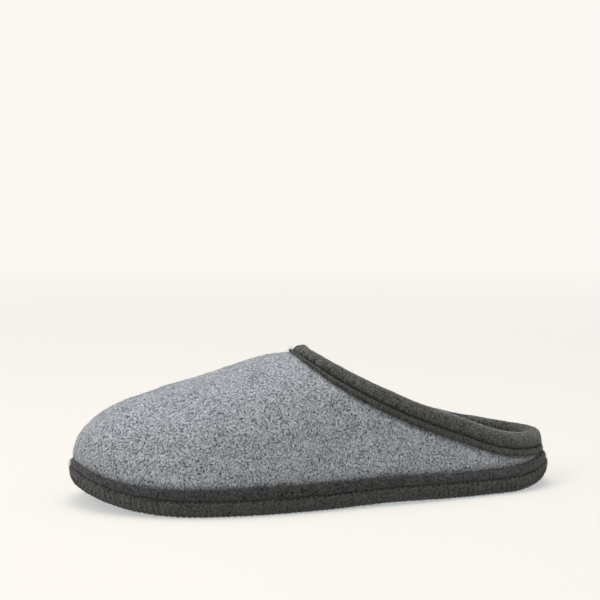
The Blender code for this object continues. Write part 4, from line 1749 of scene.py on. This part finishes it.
    def whip(self, stitches: int) -> None:
        """Sew the edge: each strand leaves the groove, rounds the side and slants away underneath.

        Args:
            stitches: Number of strands.
        """
        thick = self.last.sole_thickness
        side = smooth_line(np.array(SOLE_SIDE) * thick, self.route_points)
        flat = np.array([(self.run, 0.0), (self.reach, 0.0), (self.reach + self.dive[0], self.dive[1])])
        route = np.vstack([side[:1] + self.start, side, flat])
        steps = np.append(0, np.cumsum(np.linalg.norm(np.diff(route, axis=0), axis=1)))
        under = np.clip((route[:, 0] - self.under_start) / (self.reach - self.under_start), 0, 1)
        under *= route[:, 1] < thick * 0.5
        into = np.gradient(route, axis=0)
        into = unit(np.stack([into[:, 1], -into[:, 0]], axis=-1))
        into *= np.sign(into[3, 0])
        chance = np.random.default_rng(51)
        paths = []
        ends = np.sin(pi * np.linspace(0.06, 0.94, len(route))) ** 0.35
        for number in range(stitches):
            slip = chance.normal(0, self.slip)
            size = chance.normal(1.0, self.unevenness)
            along = number * self.perimeter / stitches + slip + self.slant * under ** 1.2
            turn = np.interp(np.mod(along, self.perimeter), self.fine_along, self.fine_turn)
            sunk = route + into * self.yarn_radius * self.bedding
            thin = ends * size * (1 - self.under_thin * under)
            sunk[:, 1] = np.maximum(sunk[:, 1], thin * self.yarn_radius * self.floor_room)
            spots = self.last.ring(turn, sunk[:, 0], self.last.lift, sunk[:, 1]) - self.last.centre
            paths.append((spots, thin))
        piece = yarn_piece("edge_stitches", paths, YARN, self.yarn_radius, self.twist, YARN_SIDES)
        dress(piece, YARN)
        LOG.info("whip stitches: %d, one each %.1f mm, path %.1f mm", stitches, self.stitch_pitch / MM,
                 steps[-1] / MM)


@dataclass
class Insole:
    """Felt insole with a soft edge and the faint hollows of heel and ball."""

    last: Last
    thickness: float = 0.0045
    inset: float = 0.0072
    columns: int = 360
    across: int = 56
    edge: tuple = ((0.35, 0.0), (0.0, 0.3), (0.0, 2.6), (0.25, 3.6), (0.9, 4.3), (1.9, 4.5))
    heel_dip: tuple = (0.13, 0.09, 0.0006)
    ball_dip: tuple = (0.70, 0.10, 0.0004)
    unevenness: float = 0.0001
    hairs: Hairs = Hairs(150000.0, 0.0026, 0.00009, 0.00025, 0.12, 29)

    def build(self) -> None:
        """Build and dress the insole and its hairs."""
        turn = np.arange(self.columns) / self.columns
        level = np.full(self.columns, self.inset)
        ground = self.last.foot_height
        rings = np.array([self.last.ring(turn, level + into * MM, ground, up * MM) for into, up in self.edge])
        count = self.columns
        top, share = across_ring(rings[-1], self.across)
        way = top[..., 0] / self.last.length
        middle = np.sin(pi * share)
        top[..., 2] = ground(top[..., 0]) + self.thickness
        for place, reach, deep in (self.heel_dip, self.ball_dip):
            top[..., 2] -= deep * np.exp(-((way - place) / reach) ** 2) * middle ** 2
        top[..., 2] += self.unevenness * (swell(top, 0.016, 61) - 1) * middle
        start = len(rings) * count
        quads, fans = plate_faces(start, start - count, self.across - 1, count)
        faces = grid_quads(len(rings), count).tolist() + quads.tolist() + fans + lid_faces(count)
        points = np.vstack([rings.reshape(-1, 3), top.reshape(-1, 3)]) - self.last.centre
        piece = make_mesh("insole_felt", points, faces)
        dress(piece, INSOLE_FELT, "insole")
        self.hairs.grow("insole_hairs", points, quads[:, ::-1].tolist(), PALE_HAIR, "insole_felt")


def swung(first: Vector, second: Vector, angle: float) -> tuple[Vector, Vector]:
    """Two square directions turned in their plane, the first towards the second."""
    return first * cos(angle) + second * sin(angle), second * cos(angle) - first * sin(angle)


@dataclass
class Studio:
    """Pale floor, soft lights and the camera at the photograph's angle."""

    target: tuple = (0.0006, -0.0041, 0.030)
    azimuth: float = 14.82
    elevation: float = 11.37
    distance: float = 1.018
    frame_pixels: float = 600.0
    focal_pixels: float = 1796.0
    shift_across: float = 14.9
    shift_down: float = 138.5
    roll: float = 0.43
    sensor: float = 36.0
    bowl_radius: float = 2.6
    bowl_curve: float = 1.2
    bowl_height: float = 2.4
    bowl_steps: int = 12
    bowl_sides: int = 96
    paper: tuple = (0.416, 0.373, 0.333, 1.0)
    glow: tuple = (0.965, 0.939, 0.887, 1.0)
    near_glow: tuple = (0.444, 0.470, 0.470, 1.0)
    unseen_share: float = 0.45
    surround: tuple = (1.0, 0.99, 0.97, 1.0)
    surround_strength: float = 0.55
    lamps: tuple = (
        ("key", (1.12, 0.58, 1.05), 0.9, 9.0, (1.0, 0.99, 0.97)),
        ("overhead", (0.1, -0.1, 1.7), 1.3, 20.0, (1.0, 0.99, 0.98)),
    )
    fade_start: float = 0.45
    fade_end: float = 1.25

    def camera(self) -> None:
        """Camera at the photograph's viewing angle and framing."""
        turn = radians(self.azimuth)
        lift = radians(self.elevation)
        away = Vector((sin(turn) * cos(lift), cos(turn) * cos(lift), sin(lift)))
        place = Vector(self.target) + away * self.distance
        ahead = -away
        right = ahead.cross(Vector((0, 0, 1))).normalized()
        up = right.cross(ahead)
        ahead, up = swung(ahead, up, atan(self.shift_down / self.focal_pixels))
        ahead, right = swung(ahead, right, -atan(self.shift_across / self.focal_pixels))
        right, up = swung(right, up, radians(self.roll))
        lens = bpy.data.cameras.new("camera")
        lens.sensor_width = self.sensor
        lens.lens = self.focal_pixels / self.frame_pixels * self.sensor
        lens.clip_start = 0.01
        thing = placed("camera", lens)
        rows = Matrix((right, up, -ahead)).transposed()
        thing.matrix_world = Matrix.Translation(place) @ rows.to_4x4()
        bpy.context.scene.camera = thing

    def bowl(self) -> None:
        """Round pale floor that curves up all round."""
        flat = self.bowl_radius - self.bowl_curve
        profile = [(0.4, 0.0), (0.8, 0.0), (1.2, 0.0), (flat, 0.0)]
        for step in range(1, self.bowl_steps + 1):
            angle = pi / 2 * step / self.bowl_steps
            profile.append((flat + self.bowl_curve * sin(angle), self.bowl_curve * (1 - cos(angle))))
        profile.append((self.bowl_radius, self.bowl_height))
        count = self.bowl_sides
        angle = np.arange(count) * 2 * pi / count
        circle = np.stack([np.cos(angle), np.sin(angle), np.zeros(count)], axis=-1)
        rings = [circle * radius + (0.0, 0.0, height) for radius, height in profile]
        points = np.vstack([np.zeros((1, 3)), np.array(rings).reshape(-1, 3)])
        faces = (grid_quads(len(rings), count) + 1).tolist()
        faces += [(0, 1 + i, 1 + (i + 1) % count) for i in range(count)]
        mesh = bpy.data.meshes.new("paper")
        mesh.from_pydata(points.tolist(), [], [tuple(face) for face in faces])
        work = bmesh.new()
        work.from_mesh(mesh)
        bmesh.ops.recalc_face_normals(work, faces=work.faces)
        if work.faces[:][0].normal.z < 0:
            bmesh.ops.reverse_faces(work, faces=work.faces[:])
        work.to_mesh(mesh)
        work.free()
        mesh.shade_smooth()
        material, bench, shader = blank_material("pale paper")
        place = bench.add("ShaderNodeTexCoord").outputs["Object"]
        level = bench.add("ShaderNodeVectorMath", {0: place, 1: (1.0, 1.0, 0.35)}, operation="MULTIPLY")
        reach = bench.add("ShaderNodeVectorMath", {0: level.outputs[0]}, operation="LENGTH").outputs["Value"]
        fade = bench.remap(reach, self.fade_start, self.fade_end)
        shade = bench.blend(fade, self.paper, BLACK)
        seen = bench.add("ShaderNodeLightPath").outputs["Is Camera Ray"]
        strength = bench.remap(seen, 0.0, 1.0, self.unseen_share, 1.0)
        glow = bench.blend(fade, self.near_glow, self.glow)
        bench.fill(shader, {"Base Color": shade, "Roughness": 1.0, "Specular IOR Level": 0.0,
                            "Emission Strength": 1.0, "Emission Color": bench.blend(strength, BLACK, glow)})
        mesh.materials.append(material)
        placed("paper", mesh)

    def lamp(self, name: str, place: tuple, size: float, power: float, colour: tuple) -> None:
        """Soft square lamp that faces the slipper.

        Args:
            name: Name of the lamp.
            place: Where it hangs.
            size: Length of its side.
            power: Power in watts.
            colour: Colour of its light.
        """
        data = bpy.data.lights.new(name, "AREA")
        data.size = size
        data.energy = power
        data.color = colour
        thing = placed(name, data)
        thing.location = place
        toward = Vector((0, 0, 0.03)) - Vector(place)
        thing.rotation_euler = toward.to_track_quat("-Z", "Y").to_euler()

    def light(self) -> None:
        """Soft studio light: a bright surround, a key lamp in front at one side and a lamp overhead."""
        world = bpy.data.worlds.new("surround")
        world.use_nodes = True
        shader = world.node_tree.nodes["Background"]
        shader.inputs["Color"].default_value = self.surround
        shader.inputs["Strength"].default_value = self.surround_strength
        bpy.context.scene.world = world
        for name, place, size, power, colour in self.lamps:
            self.lamp(name, place, size, power, colour)
        bpy.context.scene.view_settings.view_transform = "Standard"


def main() -> None:
    """Build the slipper piece by piece, then the studio."""
    logging.basicConfig(level=logging.INFO, format="%(message)s")
    last = Last()
    LOG.info("throat at %.4f, middle at %s", last.throat, np.round(last.centre, 5))
    FeltUpper(last).build()
    CollarBinding(last).build()
    Rand(last).build()
    Outsole(last).build()
    Insole(last).build()
    studio = Studio()
    studio.bowl()
    studio.light()
    studio.camera()


if __name__ == "__main__":
    main()
